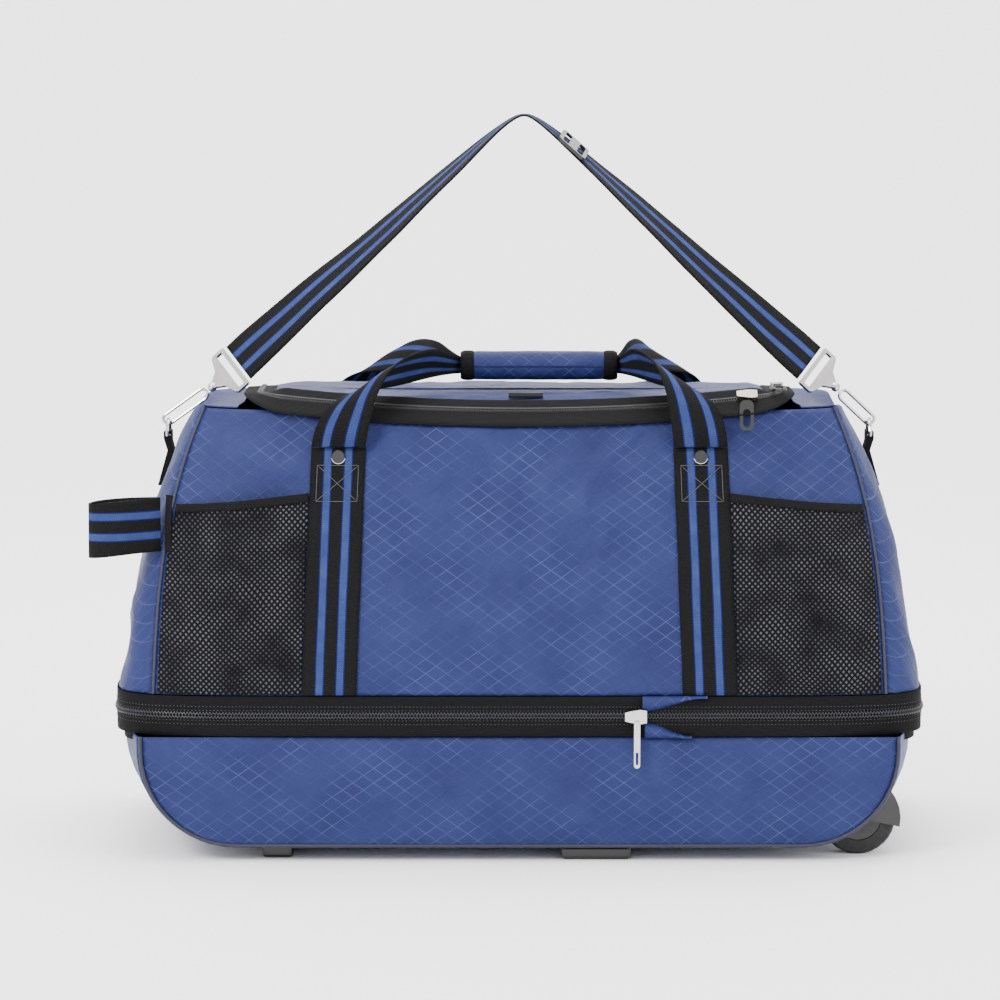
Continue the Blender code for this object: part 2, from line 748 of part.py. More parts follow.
def pull_plate(name, top, length, width, hole, frame, thickness=0.0018):
    """A pull: a rounded plate that hangs from its top edge, with a slot."""
    half = width / 2
    rim = rounded(half, length / 2, min(half, 0.005) * 0.95, 3, (0.0, -length / 2))
    slot = rounded(hole[0] / 2, hole[1] / 2, hole[0] / 2 * 0.95, 3, (0.0, -length + hole[2]))
    world = Matrix.Translation(top) @ frame.to_4x4()
    return plate(name, [rim, slot], thickness, world, "black_plastic")


UPRIGHT = Matrix(((1.0, 0.0, 0.0), (0.0, 0.0, -1.0), (0.0, 1.0, 0.0)))


def tape_frame():
    """Axes on the sloping front tape: along X, up the tape, and out of it."""
    slope = math.atan(0.65)
    return Matrix.Rotation(slope, 3, "X")


def make_sliders():
    y = -HALF_DEPTH - 0.0036
    slider("belt_slider", at(SLIDER_X, y, BELT_Z), UPRIGHT)
    pull_plate("belt_pull", at(SLIDER_X + 0.001, y - 0.0070, BELT_Z - 0.0035), 0.0440, 0.0056,
               (0.0026, 0.0120, 0.0090), UPRIGHT)
    for name, x in (("top_slider", TOP_SLIDER_X), ("side_slider", SIDE_SLIDER_X)):
        z = zip_height(x)
        y = ZIP_FRONT_Y
        frame = tape_frame()
        height = 0.0038
        hang = at(x - 0.001, y, z) + frame @ Vector((0.0, -0.0130, 0.0088))
        slant = Matrix.Rotation(math.radians(-12.0), 3, "X") @ UPRIGHT
        if name == "side_slider":
            y = ZIP_FRONT_Y + ZIP_RADIUS + 0.0080
            frame = Matrix.Rotation(math.radians(90.0), 3, "Z")
            hang = at(x + 0.0005, y - 0.0130, z + 0.0062)
            slant = Matrix.Rotation(math.radians(3.0), 3, "X")
            height = 0.0055
        lift = frame @ Vector((0.0, 0.0, 0.0028))
        slider(name, at(x, y, z) + lift, frame, length=0.0190, width=0.0130, height=height)
        pull_plate(name + "_pull", hang, 0.0285 if name == "top_slider" else 0.0240, 0.0130,
                   (0.0070, 0.0170, 0.0115), slant)


# ---------------------------------------------------------------- shoulder strap
def strap_height(x):
    return APEX_Z - STRAP_SLOPE * (math.hypot(x - APEX_X, APEX_ROUND) - APEX_ROUND)


def strap_station(x):
    """Middle of the webbing at x, its tangent, width direction and outward face."""
    step = 0.001
    middle = Vector((x, STRAP_Y, strap_height(x)))
    tangent = Vector((2 * step, 0.0, strap_height(x + step) - strap_height(x - step))).normalized()
    upward = Vector((-tangent.z, 0.0, tangent.x))
    twist = math.radians(90.0 - 48.0 * min(1.0, abs(x - APEX_X) / 0.26))
    across = upward * math.cos(twist) + Vector((0.0, 1.0, 0.0)) * math.sin(twist)
    return middle, tangent, across, across.cross(tangent)


def make_shoulder_strap():
    foot = 0.0345 * 0.741
    start = APEX_X - STRAP_REACH + foot
    end = APEX_X + STRAP_REACH - foot

    def point(u, v):
        middle, _, across, _ = strap_station(mix(start, end, v))
        p = middle + across * WEB_WIDTH * (u - 0.5)
        return at(*p)

    sheet("shoulder_webbing", point, 2, 28, "black_webbing", WEB_THICK, side=0.0)
    middle, tangent, across, face = strap_station(0.0500)
    if face.z < 0:
        face = -face
    centre = at(*(middle + face * 0.0036))
    axes = Matrix((across, tangent, across.cross(tangent))).transposed()
    world = Matrix.Translation(centre) @ axes.to_4x4()
    slots = [rounded(0.0260, 0.0035, 0.002, 2, (0.0, s * 0.0085)) for s in (-1.0, 1.0)]
    plate("triglide", [rounded(0.0300, 0.0160, 0.005, 3)] + slots, 0.0030, world, "black_plastic")


def make_strap_end(side_name, side):
    """The frame that holds the webbing, the hook below it and the D-ring on its tab."""
    x = APEX_X + side * STRAP_REACH
    middle, tangent, across, _ = strap_station(x)
    up = -tangent if side > 0 else tangent
    along = across if side > 0 else -across
    ball = at(*middle)
    world = Matrix.Translation(ball) @ Matrix((along, up, along.cross(up))).transposed().to_4x4()
    rim = [(-0.0035, 0.0020), (0.0035, 0.0020), (0.0110, 0.0110), (0.0250, 0.0155), (0.0275, 0.0180),
           (0.0275, 0.0300), (0.0260, 0.0315), (-0.0260, 0.0315), (-0.0275, 0.0300), (-0.0275, 0.0180),
           (-0.0250, 0.0155), (-0.0110, 0.0110)]
    slot = rounded(0.0240, 0.0032, 0.0010, 2, (0.0, 0.0240))
    frame = as_mesh(plate("strap_frame_" + side_name, [rim, slot], 0.0032, world, "dark_metal"))
    bpy.ops.mesh.primitive_uv_sphere_add(segments=16, ring_count=10, radius=0.0046, location=ball)
    knob = bpy.context.active_object
    knob.name = "knob_" + side_name
    settle(knob, "dark_metal", CUTTERS)
    cut_or_join(frame, knob, "UNION")

    target = at(side * D_RING_X, STRAP_Y, D_RING_Z + D_RING_R)
    hook_way = (target - ball).normalized()
    hook_out = Vector((0.0, 1.0, 0.0)).cross(hook_way) * side
    reach = (target - ball).length + 0.0052
    centre = ball + hook_way * (0.0070 + reach) / 2
    half = (reach - 0.0070) / 2
    loop = [centre + hook_way * p + hook_out * q for p, q in rounded(half, 0.0050, 0.0048, 4)]
    hook = wire("hook_" + side_name, loop, 0.0016, "dark_metal")
    make_d_ring(side_name, side)
    return hook


def make_d_ring(side_name, side):
    x = side * D_RING_X
    points = []
    for k in range(13):
        turn = math.pi * k / 12
        points.append(at(x, STRAP_Y + D_RING_R * math.cos(turn), D_RING_Z + D_RING_R * math.sin(turn)))
    wire("d_ring_" + side_name, points, D_WIRE, "dark_metal")
    wall = [length_at(0.0, rise_share(z)) for z in (0.330, 0.364)]
    low_x, high_x = (side * w for w in wall)
    inner = x - side * 0.0034
    outer = x + side * 0.0040
    profile = [(low_x + side * 0.0012, 0.3300), (high_x + side * 0.0024, 0.3640), (inner, D_RING_Z - 0.0060),
               (inner, D_RING_Z + 0.0034), (x, D_RING_Z + 0.0052), (outer, D_RING_Z + 0.0030),
               (outer, D_RING_Z - 0.0040), (x + side * 0.0005, 0.3640), (low_x + side * 0.0062, 0.3300)]
    hollow = [(x + 0.0024 * math.cos(t), D_RING_Z + 0.0024 * math.sin(t))
              for t in (2 * math.pi * k / 10 for k in range(10))]
    turn = Matrix(((1.0, 0.0, 0.0), (0.0, 0.0, -1.0), (0.0, 1.0, 0.0)))
    world = Matrix.Translation(at(0.0, STRAP_Y, 0.0)) @ turn.to_4x4()
    plate("d_ring_tab_" + side_name, [profile, hollow], 0.0210, world, "black_webbing")


# ---------------------------------------------------------------- end pull loop
def make_pull_loop():
    """A loop of webbing that stands out from the front left seam, on a sewn tab."""
    q = rise_share(LOOP_Z)
    seam_x = -seam_share(q) * half_length(q)
    seam_y = -depth_at(seam_x, q)
    hinge_x = seam_x - 0.0060
    hinge_y = seam_y - 0.0045
    reach = 0.0680
    way = Vector((-0.96, -0.28))
    side_way = Vector((0.28, -0.96))
    points = []
    for k in range(24):
        turn = 2.0 * math.pi * k / 24
        along = (1.0 - math.cos(turn)) / 2.0
        wide = 0.0200 * math.sin(turn) * (0.35 + 0.65 * along)
        points.append(Vector((hinge_x, hinge_y)) + way * (0.0015 + reach * along) + side_way * wide)

    def point(u, v):
        x, y = points[round(u * 24) % 24]
        return at(x, y, LOOP_Z + WEB_WIDTH * (v - 0.5))

    made = sheet("pull_loop", point, 24, 2, "black_webbing", 0.0022, ring=True, side=1.0)
    place(made, at(hinge_x, hinge_y, LOOP_Z))

    def tab(u, v):
        z = LOOP_Z + WEB_WIDTH * (v - 0.5)
        x = mix(seam_x - 0.0030, seam_x + 0.0030, u)
        return front_wall(x, z, GAP + 0.0012)

    sheet("pull_loop_tab", tab, 2, 3, "black_webbing", 0.0012, side=1.0)


# ---------------------------------------------------------------- assembly
def main():
    make_tub()
    make_wheels()
    make_walls()
    belt_band("belt_stringer_upper",
              [(0.0, BELT_Z + 0.0007), (0.0, TAPE_UPPER_TOP), (0.0012, TAPE_UPPER_TOP),
               (0.0012, BELT_Z + 0.0034), (0.0030, BELT_Z + 0.0028), (0.0030, BELT_Z + 0.0007)], "zip_tape")
    make_straps()
    make_pockets()
    make_lid()
    make_handles()
    make_sliders()
    make_shoulder_strap()
    make_strap_end("left", -1.0)
    make_strap_end("right", 1.0)
    make_pull_loop()


main()
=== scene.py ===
import json
import math

import bmesh
import bpy
from mathutils import Matrix, Vector, noise


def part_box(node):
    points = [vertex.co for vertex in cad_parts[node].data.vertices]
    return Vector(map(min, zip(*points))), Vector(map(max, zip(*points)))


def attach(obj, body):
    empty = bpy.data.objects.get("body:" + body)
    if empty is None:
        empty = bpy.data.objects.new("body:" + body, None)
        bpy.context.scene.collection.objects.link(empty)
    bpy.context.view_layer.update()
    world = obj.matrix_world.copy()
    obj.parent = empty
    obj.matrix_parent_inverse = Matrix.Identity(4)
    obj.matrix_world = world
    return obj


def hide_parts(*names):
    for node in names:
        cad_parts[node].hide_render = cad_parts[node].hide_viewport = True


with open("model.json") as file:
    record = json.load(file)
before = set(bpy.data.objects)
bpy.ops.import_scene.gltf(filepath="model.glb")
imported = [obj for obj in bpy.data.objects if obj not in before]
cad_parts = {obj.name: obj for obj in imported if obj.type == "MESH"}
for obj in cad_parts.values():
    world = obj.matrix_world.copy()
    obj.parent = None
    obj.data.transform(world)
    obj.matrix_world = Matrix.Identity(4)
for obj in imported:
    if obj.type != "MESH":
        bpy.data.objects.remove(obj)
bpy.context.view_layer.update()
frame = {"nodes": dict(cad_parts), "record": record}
NODES = frame["nodes"]


def box_of(node):
    low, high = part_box(node)
    return Vector(low), Vector(high)


def middle_of(node):
    low, high = box_of(node)
    return (low + high) / 2


# ---------------------------------------------------------------- sizes taken from the frame
BELT_LOW, BELT_HIGH = box_of("belt_stringer_upper")
TAPE_LOW, _ = box_of("belt_stringer_lower")
BODY = Vector(((BELT_LOW.x + BELT_HIGH.x) / 2, (BELT_LOW.y + BELT_HIGH.y) / 2, 0.0))
HALF_LENGTH = (BELT_HIGH.x - BELT_LOW.x) / 2 - 0.0030
HALF_DEPTH = (BELT_HIGH.y - BELT_LOW.y) / 2 - 0.0030
BELT_Z = BELT_LOW.z - 0.0007
WALL_BASE = BELT_HIGH.z + 0.0008
TOP_Z = 0.415
TUB_LOW, TUB_HIGH = box_of("tub_front_panel")
TUB_HALF = (TUB_HIGH.x - TUB_LOW.x) / 2 + 0.0025
TUB_BASE = TUB_LOW.z - 0.0004
TUB_TOP = TUB_HIGH.z
TUB_RADIUS = 0.088
STRAP_LOW, STRAP_HIGH = box_of("front_strap_right")
WEB_WIDTH = 0.050
STRAP_X_LOW = 0.1755
STRAP_X_HIGH = 0.1670
ZIP_X = 0.2425
ZIP_FRONT_Y = -0.1055
ZIP_RADIUS = 0.030
ZIP_REAR_Y = -0.0070
STRAP_BOX = box_of("shoulder_webbing")
LOOP_BOX = box_of("pull_loop")

JOINED = {node: body for body, names in frame["record"]["behaviour"]["bodies"].items() for node in names}


def at(x, y, z):
    return Vector((BODY.x + x, BODY.y + y, z))


def mix(a, b, share):
    return a + (b - a) * share


def ease(x):
    x = min(1.0, max(0.0, x))
    return x * x * (3.0 - 2.0 * x)


# ---------------------------------------------------------------- materials
def shader_for(name):
    made = bpy.data.materials.new(name)
    made.use_nodes = True
    return made, made.node_tree, made.node_tree.nodes["Principled BSDF"]


def add(tree, kind, **settings):
    node = tree.nodes.new(kind)
    for key, value in settings.items():
        setattr(node, key, value)
    return node


def math_node(tree, operation, a, b=None, c=None):
    node = add(tree, "ShaderNodeMath", operation=operation)
    for k, value in enumerate((a, b, c)):
        if value is None:
            continue
        if isinstance(value, (int, float)):
            node.inputs[k].default_value = value
        else:
            tree.links.new(value, node.inputs[k])
    return node.outputs[0]


def blend_colours(tree, share, one, two):
    node = add(tree, "ShaderNodeMix", data_type="RGBA")
    tree.links.new(share, node.inputs["Factor"])
    for socket, value in ((node.inputs["A"], one), (node.inputs["B"], two)):
        if isinstance(value, tuple):
            socket.default_value = (*value, 1.0)
        else:
            tree.links.new(value, socket)
    return node.outputs["Result"]


def cloth_uv(tree):
    uv = add(tree, "ShaderNodeUVMap", uv_map="cloth")
    split = add(tree, "ShaderNodeSeparateXYZ")
    tree.links.new(uv.outputs[0], split.inputs[0])
    return split.outputs[0], split.outputs[1], uv.outputs[0]


def noise_node(tree, vector, scale, detail=4.0):
    node = add(tree, "ShaderNodeTexNoise")
    node.inputs["Scale"].default_value = scale
    node.inputs["Detail"].default_value = detail
    if vector is not None:
        tree.links.new(vector, node.inputs["Vector"])
    return node.outputs["Fac"]


def near_line(tree, value, width):
    """1 on whole numbers of the value, falling to 0 over the width."""
    swing = math_node(tree, "PINGPONG", value, 0.5)
    ranged = add(tree, "ShaderNodeMapRange")
    tree.links.new(swing, ranged.inputs["Value"])
    ranged.inputs["From Min"].default_value = width * 0.5
    ranged.inputs["From Max"].default_value = width
    ranged.inputs["To Min"].default_value = 1.0
    ranged.inputs["To Max"].default_value = 0.0
    return ranged.outputs[0]


def bump(tree, shader, height, distance, strength=1.0):
    node = add(tree, "ShaderNodeBump")
    node.inputs["Distance"].default_value = distance
    node.inputs["Strength"].default_value = strength
    tree.links.new(height, node.inputs["Height"])
    tree.links.new(node.outputs[0], shader.inputs["Normal"])


def make_nylon(name, base, light):
    """Ripstop nylon: faint raised lines in a lattice, fine threads, and creases, with painted shade darkening
    the creases and painted light on the raised folds.
    """
    made, tree, shader = shader_for(name)
    u, v, uv = cloth_uv(tree)
    a = math_node(tree, "MULTIPLY_ADD", v, 74.0, math_node(tree, "MULTIPLY", u, 52.0))
    b = math_node(tree, "MULTIPLY_ADD", v, -74.0, math_node(tree, "MULTIPLY", u, 52.0))
    lines = math_node(tree, "MAXIMUM", near_line(tree, a, 0.050), near_line(tree, b, 0.050))
    threads_a = math_node(tree, "SINE", math_node(tree, "MULTIPLY", u, 5200.0))
    threads_b = math_node(tree, "SINE", math_node(tree, "MULTIPLY", v, 3600.0))
    threads = math_node(tree, "MULTIPLY", threads_a, threads_b)
    crease = noise_node(tree, uv, 17.0, 3.0)
    # the crease noise also sets the colour: painted shade in the creases, painted light on the raised folds
    dark = (base[0] * 0.42, base[1] * 0.42, base[2] * 0.80)
    fold_shaded_colour = blend_colours(tree, crease, dark, tuple(min(1.0, c * 1.62) for c in base))
    patchy = math_node(tree, "MULTIPLY_ADD", noise_node(tree, uv, 21.0, 2.0), 2.4, -0.75)
    patchy = math_node(tree, "MINIMUM", math_node(tree, "MAXIMUM", patchy, 0.05), 0.85)
    colour = blend_colours(tree, math_node(tree, "MULTIPLY", lines, patchy), fold_shaded_colour, light)
    tree.links.new(colour, shader.inputs["Base Color"])
    shader.inputs["Roughness"].default_value = 0.52
    shader.inputs["Specular IOR Level"].default_value = 0.16
    fine = math_node(tree, "MULTIPLY_ADD", threads, 0.10, math_node(tree, "MULTIPLY", lines, 0.45))
    small = math_node(tree, "MULTIPLY_ADD", noise_node(tree, uv, 70.0, 4.0), 1.5, fine)
    height = math_node(tree, "MULTIPLY_ADD", crease, 7.5, small)
    bump(tree, shader, height, 0.0010, 0.85)
    return made


def make_webbing(name, striped):
    """Ribbed webbing or tape; the striped kind has two lines of speckled chevron and fine edge lines."""
    made, tree, shader = shader_for(name)
    u, v, uv = cloth_uv(tree)
    ribs = math_node(tree, "SINE", math_node(tree, "MULTIPLY", v, 3400.0))
    weave = math_node(tree, "MULTIPLY_ADD", noise_node(tree, uv, 800.0), 0.8, ribs)
    black = (0.0022, 0.0022, 0.0024)
    shade = blend_colours(tree, noise_node(tree, uv, 420.0), black, (0.0075, 0.0075, 0.0080))
    if striped:
        off = math_node(tree, "ABSOLUTE", u)
        inside = math_node(tree, "COMPARE", off, 0.0095, 0.0031)
        slant = math_node(tree, "MULTIPLY", off, 560.0)
        chevron = near_line(tree, math_node(tree, "MULTIPLY_ADD", v, 560.0, slant), 0.24)
        back = near_line(tree, math_node(tree, "MULTIPLY_ADD", v, -560.0, slant), 0.24)
        speck = math_node(tree, "MULTIPLY", chevron, back)
        blue = blend_colours(tree, noise_node(tree, uv, 60.0), (0.012, 0.020, 0.090), (0.042, 0.066, 0.180))
        blue = blend_colours(tree, math_node(tree, "MULTIPLY", speck, 0.9), blue, (0.006, 0.008, 0.050))
        shade = blend_colours(tree, inside, shade, blue)
        rim = math_node(tree, "COMPARE", off, 0.0131, 0.0005)
        rim_in = math_node(tree, "COMPARE", off, 0.0059, 0.0005)
        shade = blend_colours(tree, math_node(tree, "MAXIMUM", rim, rim_in), shade, (0.006, 0.008, 0.070))
    tree.links.new(shade, shader.inputs["Base Color"])
    shader.inputs["Roughness"].default_value = 0.80
    shader.inputs["Specular IOR Level"].default_value = 0.08
    bump(tree, shader, weave, 0.0003, 0.7)
    return made


def make_net():
    """Black net in rows: holes in offset rows that wander a little, each painted light grey as a painted
    reflection of the glossy net.
    """
    made, tree, shader = shader_for("net_looks")
    u, v, uv = cloth_uv(tree)
    wander = math_node(tree, "MULTIPLY_ADD", noise_node(tree, uv, 16.0, 2.0), 0.0150, v)
    a = math_node(tree, "MULTIPLY_ADD", wander, 175.0, math_node(tree, "MULTIPLY", u, 190.0))
    b = math_node(tree, "MULTIPLY_ADD", wander, -175.0, math_node(tree, "MULTIPLY", u, 190.0))
    holes = math_node(tree, "MULTIPLY", near_line(tree, a, 0.34), near_line(tree, b, 0.34))
    patchy = math_node(tree, "MULTIPLY_ADD", noise_node(tree, uv, 30.0, 3.0), 2.6, -0.65)
    patchy = math_node(tree, "MINIMUM", math_node(tree, "MAXIMUM", patchy, 0.10), 1.0)
    # light grey painted reflection at the holes, in patches
    hole_glint = math_node(tree, "MULTIPLY", holes, patchy)
    shade = blend_colours(tree, hole_glint, (0.0012, 0.0012, 0.0018), (0.060, 0.061, 0.070))
    tree.links.new(shade, shader.inputs["Base Color"])
    shader.inputs["Roughness"].default_value = 0.7
    shader.inputs["Specular IOR Level"].default_value = 0.08
    bump(tree, shader, math_node(tree, "SUBTRACT", 1.0, holes), 0.0006)
    return made


def make_hard(name, colour, roughness, metallic, grain=600.0, depth=0.00012, coat=0.0):
    made, tree, shader = shader_for(name)
    place = add(tree, "ShaderNodeTexCoord").outputs["Object"]
    spread = noise_node(tree, place, 90.0)
    low = tuple(c * 0.75 for c in colour)
    high = tuple(min(1.0, c * 1.25) for c in colour)
    shade = blend_colours(tree, spread, low, high)
    tree.links.new(shade, shader.inputs["Base Color"])
    rough = add(tree, "ShaderNodeMapRange")
    tree.links.new(noise_node(tree, place, 240.0), rough.inputs["Value"])
    rough.inputs["To Min"].default_value = roughness * 0.75
    rough.inputs["To Max"].default_value = min(1.0, roughness * 1.25)
    tree.links.new(rough.outputs[0], shader.inputs["Roughness"])
    shader.inputs["Metallic"].default_value = metallic
    shader.inputs["Coat Weight"].default_value = coat
    bump(tree, shader, noise_node(tree, place, grain), depth, 0.5)
    return made


NYLON = make_nylon("nylon_looks", (0.0110, 0.0165, 0.0640), (0.042, 0.060, 0.165))
STRIPED = make_webbing("striped_webbing_looks", True)
PLAIN_WEB = make_webbing("plain_webbing_looks", False)
NET = make_net()
COIL = make_hard("coil_looks", (0.022, 0.022, 0.025), 0.34, 0.0, coat=0.2)
METAL = make_hard("slider_metal_looks", (0.20, 0.175, 0.150), 0.26, 1.0, 300.0, 0.00005)
CHROME = make_hard("ring_metal_looks", (0.50, 0.49, 0.48), 0.20, 1.0, 300.0, 0.00004)
STEEL = make_hard("axle_looks", (0.45, 0.45, 0.46), 0.32, 1.0)
PLASTIC = make_hard("plastic_looks", (0.0030, 0.0030, 0.0034), 0.36, 0.0, 900.0, 0.0001, 0.1)
HUB = make_hard("hub_looks", (0.018, 0.018, 0.020), 0.45, 0.0, 900.0, 0.0001)
RUBBER = make_hard("tyre_looks", (0.0035, 0.0035, 0.0035), 0.70, 0.0, 500.0, 0.0002)
BOARD = make_hard("board_looks", (0.030, 0.030, 0.030), 0.60, 0.0)
THREAD = make_hard("thread_looks", (0.045, 0.045, 0.050), 0.70, 0.0)

SLOT_LOOKS = {
    "dark_metal": METAL,
    "steel": STEEL,
    "black_plastic": PLASTIC,
    "grey_plastic": HUB,
    "rubber": RUBBER,
    "board": BOARD,
    "zip_tape": PLAIN_WEB,
    "black_webbing": PLAIN_WEB,
    "blue_nylon": NYLON,
    "mesh_net": NET,
}


# ---------------------------------------------------------------- makers
def finish_piece(made, looks, body, replaced=()):
    made.data.materials.clear()
    made.data.materials.append(looks)
    bpy.context.scene.collection.objects.link(made)
    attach(made, body)
    if replaced:
        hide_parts(*replaced)
    return made


def area_of(made):
    bpy.context.view_layer.update()
    seen = made.evaluated_get(bpy.context.evaluated_depsgraph_get())
    mesh = seen.to_mesh()
    total = sum(p.area for p in mesh.polygons)
    seen.to_mesh_clear()
    return total


def declare_sheet(made, width):
    """Works out the piece's length from the modelled area, not from a pattern; the length is not stored or
    used.
    """
    area_of(made) / 2.0 / width


def cloth(name, point, across, along, looks, body, replaced, thickness=0.0012, side=-1.0,
          ring=False, uv=None, width=None):
    """A cloth panel through point(u, v), with its own cloth coordinates in metres."""
    mesh = bpy.data.meshes.new(name)
    shape = bmesh.new()
    layer = shape.loops.layers.uv.new("cloth")
    columns = across if ring else across + 1
    spots = [[point(i / across, j / along) for i in range(columns)] for j in range(along + 1)]
    rows = [[shape.verts.new(p) for p in row] for row in spots]
    gone_u = [0.0]
    half_row = spots[len(spots) // 2]
    for i in range(across):
        gone_u.append(gone_u[-1] + (half_row[(i + 1) % columns] - half_row[i]).length)
    gone_v = [0.0]
    for j in range(along):
        gone_v.append(gone_v[-1] + (spots[j + 1][columns // 2] - spots[j][columns // 2]).length)
    for j in range(along):
        for i in range(across):
            k = (i + 1) % columns
            face = shape.faces.new((rows[j][i], rows[j][k], rows[j + 1][k], rows[j + 1][i]))
            face.smooth = True
            spots_here = ((i, j, rows[j][i]), (i + 1, j, rows[j][k]),
                          (i + 1, j + 1, rows[j + 1][k]), (i, j + 1, rows[j + 1][i]))
            for loop, (a, b, vert) in zip(face.loops, spots_here):
                if uv is None:
                    loop[layer].uv = (gone_u[a] - gone_u[-1] / 2, gone_v[b])
                else:
                    loop[layer].uv = uv(vert.co)
    shape.to_mesh(mesh)
    shape.free()
    made = bpy.data.objects.new(name, mesh)
    shell = made.modifiers.new("thickness", "SOLIDIFY")
    shell.thickness = thickness
    shell.offset = side
    shell.use_even_offset = False
    finish_piece(made, looks, body, replaced)
    declare_sheet(made, width or max(0.012, gone_u[-1]))
    return made


def wire_piece(name, points, radius, looks, body, cyclic=False, replaced=(), detail=2):
    curve = bpy.data.curves.new(name, "CURVE")
    curve.dimensions = "3D"
    curve.bevel_depth = radius
    curve.bevel_resolution = detail
    curve.use_fill_caps = True
    spline = curve.splines.new("POLY")
    spline.points.add(len(points) - 1)
    for target, p in zip(spline.points, points):
        target.co = (*p, 1.0)
    spline.use_cyclic_u = cyclic
    spline.use_smooth = True
    return finish_piece(bpy.data.objects.new(name, curve), looks, body, replaced)


# ---------------------------------------------------------------- folds in the cloth
def folds(a, b, seed, scale=9.0):
    """Soft creases: a slow swell with sharper folds in it, about -1 to 1."""
    slow = noise.noise(Vector((a * scale, b * scale * 0.8, seed)))
    bent = noise.noise(Vector((a * scale * 0.7 + 5.0, b * scale * 0.5, seed + 3.0))) * 1.4
    spot = Vector((a * scale * 2.1 + bent, b * scale * 1.3 - bent, seed + 7.0))
    crease = 1.0 - 2.0 * abs(noise.noise(spot)) ** 0.8
    fine = noise.noise(Vector((a * scale * 4.5, b * scale * 4.0 + bent, seed + 11.0)))
    return 0.62 * slow + 0.40 * (crease - 0.45) + 0.14 * fine


def rise_share(z):
    return min(1.0, max(0.0, (z - WALL_BASE) / (TOP_Z - WALL_BASE)))


def half_length(q):
    return HALF_LENGTH - 0.036 * q - 0.034 * q ** 3


def half_depth(q):
    return HALF_DEPTH - 0.030 * q - 0.015 * q ** 3


def seam_share(q):
    return 0.90 + 0.06 * q


def depth_at(x, q):
    n = 8.0 - 3.0 * q
    return half_depth(q) * max(0.0, 1.0 - abs(x / half_length(q)) ** n) ** (1.0 / n)


def length_at(y, q):
    n = 8.0 - 3.0 * q
    return half_length(q) * max(0.0, 1.0 - abs(y / half_depth(q)) ** n) ** (1.0 / n)


def wall_swell(x, z, face):
    """How far the cloth of the front or back wall stands off its even shape."""
    q = rise_share(z)
    inside = ease((1.0 - abs(x) / (seam_share(q) * half_length(q))) / 0.12)
    held = ease(q / 0.10) * ease((1.0 - q) / 0.08)
    pull = 1.0 - 0.45 * math.exp(-((abs(x) - 0.171) / 0.035) ** 2)
    slump = 0.0035 * math.sin(math.pi * min(1.0, q * 1.15)) - 0.0025 * q
    return inside * held * pull * (0.0080 * folds(x, z, 2.0 if face < 0 else 9.0) + slump)


def wall(x, z, out=0.0, face=-1.0):
    return at(x, face * (depth_at(x, rise_share(z)) + out + wall_swell(x, z, face)), z)


def top_edge(u):
    return 0.4000 + 0.0150 * min(1.0, (u / 0.8) ** 2)


def wall_span(u, v, grow=-0.0008):
    z = mix(WALL_BASE, top_edge(u), v)
    q = rise_share(z)
    return u * (seam_share(q) * half_length(q) + grow), z


def side_uv(p):
    return (p.x, p.z)


def end_uv(p):
    return (p.y, p.z + abs(p.x) * 0.6)


def top_uv(p):
    return (p.x, p.y)


# ---------------------------------------------------------------- upper bag
def upper_walls():
    def front(u, v):
        x, z = wall_span(2.0 * u - 1.0, v)
        return wall(x, z, 0.0, -1.0)

    def back(u, v):
        x, z = wall_span(2.0 * u - 1.0, v)
        return wall(x, z, 0.0, 1.0)

    cloth("front_cloth", front, 150, 64, NYLON, "upper_bag", ["front_panel"],
          side=-1.0, uv=side_uv)
    cloth("back_cloth", back, 110, 48, NYLON, "upper_bag", ["back_panel"], side=1.0, uv=side_uv)
    for name, sign in (("left", -1.0), ("right", 1.0)):
        cloth(name + "_end_cloth", end_wall(sign), 64, 80, NYLON, "upper_bag",
              [name + "_end_panel"], side=1.0 if sign < 0 else -1.0, uv=end_uv)

    def rear(u, v):
        x = 0.2590 * (2.0 * u - 1.0)
        back_y = depth_at(x, rise_share(top_edge(x / 0.294))) - 0.0002
        low_z = top_edge(x / 0.294) + 0.0008
        high_z = 0.4252 - 0.0090 * (max(0.0, abs(x) - 0.2) / 0.06) ** 2
        y = mix(back_y, 0.0005, v ** 1.4)
        swell = 0.0030 * folds(x, y, 21.0, 12.0) * ease(v / 0.15) * ease((1.0 - v) / 0.1) - 0.0008
        return at(x, y, mix(low_z, high_z, math.sin(min(1.0, v * 1.8) * math.pi / 2)) + min(0.0012, swell))

    cloth("top_rear_cloth", rear, 100, 36, NYLON, "upper_bag", ["top_rear_panel"],
          side=-1.0, uv=top_uv)


def end_wall(sign):
    turn_at = 0.75
    rim_x = 0.262

    def point(u, v):
        s = 2.0 * u - 1.0
        share = (1.0 - s * s) ** 2
        if v <= turn_at:
            q0 = v / turn_at
            z = mix(WALL_BASE, 0.415, q0)
            q = rise_share(z)
            edge_x = seam_share(q) * half_length(q) + 0.0008
            y = s * (depth_at(edge_x, q) - 0.0003)
            x = edge_x if abs(s) > 0.9999 else max(edge_x - 0.002, length_at(y, q))
            swell = 0.0065 * folds(y, z, 5.0 + sign, 10.0) - 0.0015 * q0
            x += swell * ease((1.0 - abs(s)) / 0.2) * ease(q0 / 0.1) * ease((1.12 - q0) / 0.2)
            return at(sign * x, y, z - 0.0162 * q0 ** 6 * share + 0.0022 * q0 ** 3)
        k = (v - turn_at) / (1.0 - turn_at)
        edge = (1.0 - 0.135 * k) * (seam_share(1.0) * half_length(1.0) + 0.0010)
        edge = max(edge, rim_x)
        edge_y = depth_at(edge, 1.0) - 0.0010
        middle_x = rim_x + (half_length(1.0) - rim_x) * math.cos(k * math.pi / 2)
        middle_z = 0.4010 + 0.0130 * k
        x = mix(edge, middle_x, share)
        y = s * edge_y
        swell = 0.0016 * folds(x, y, 31.0, 14.0) * ease((1.0 - abs(s)) / 0.2)
        return at(sign * x, y, mix(0.4172, middle_z, share) + min(0.0005, swell))

    return point


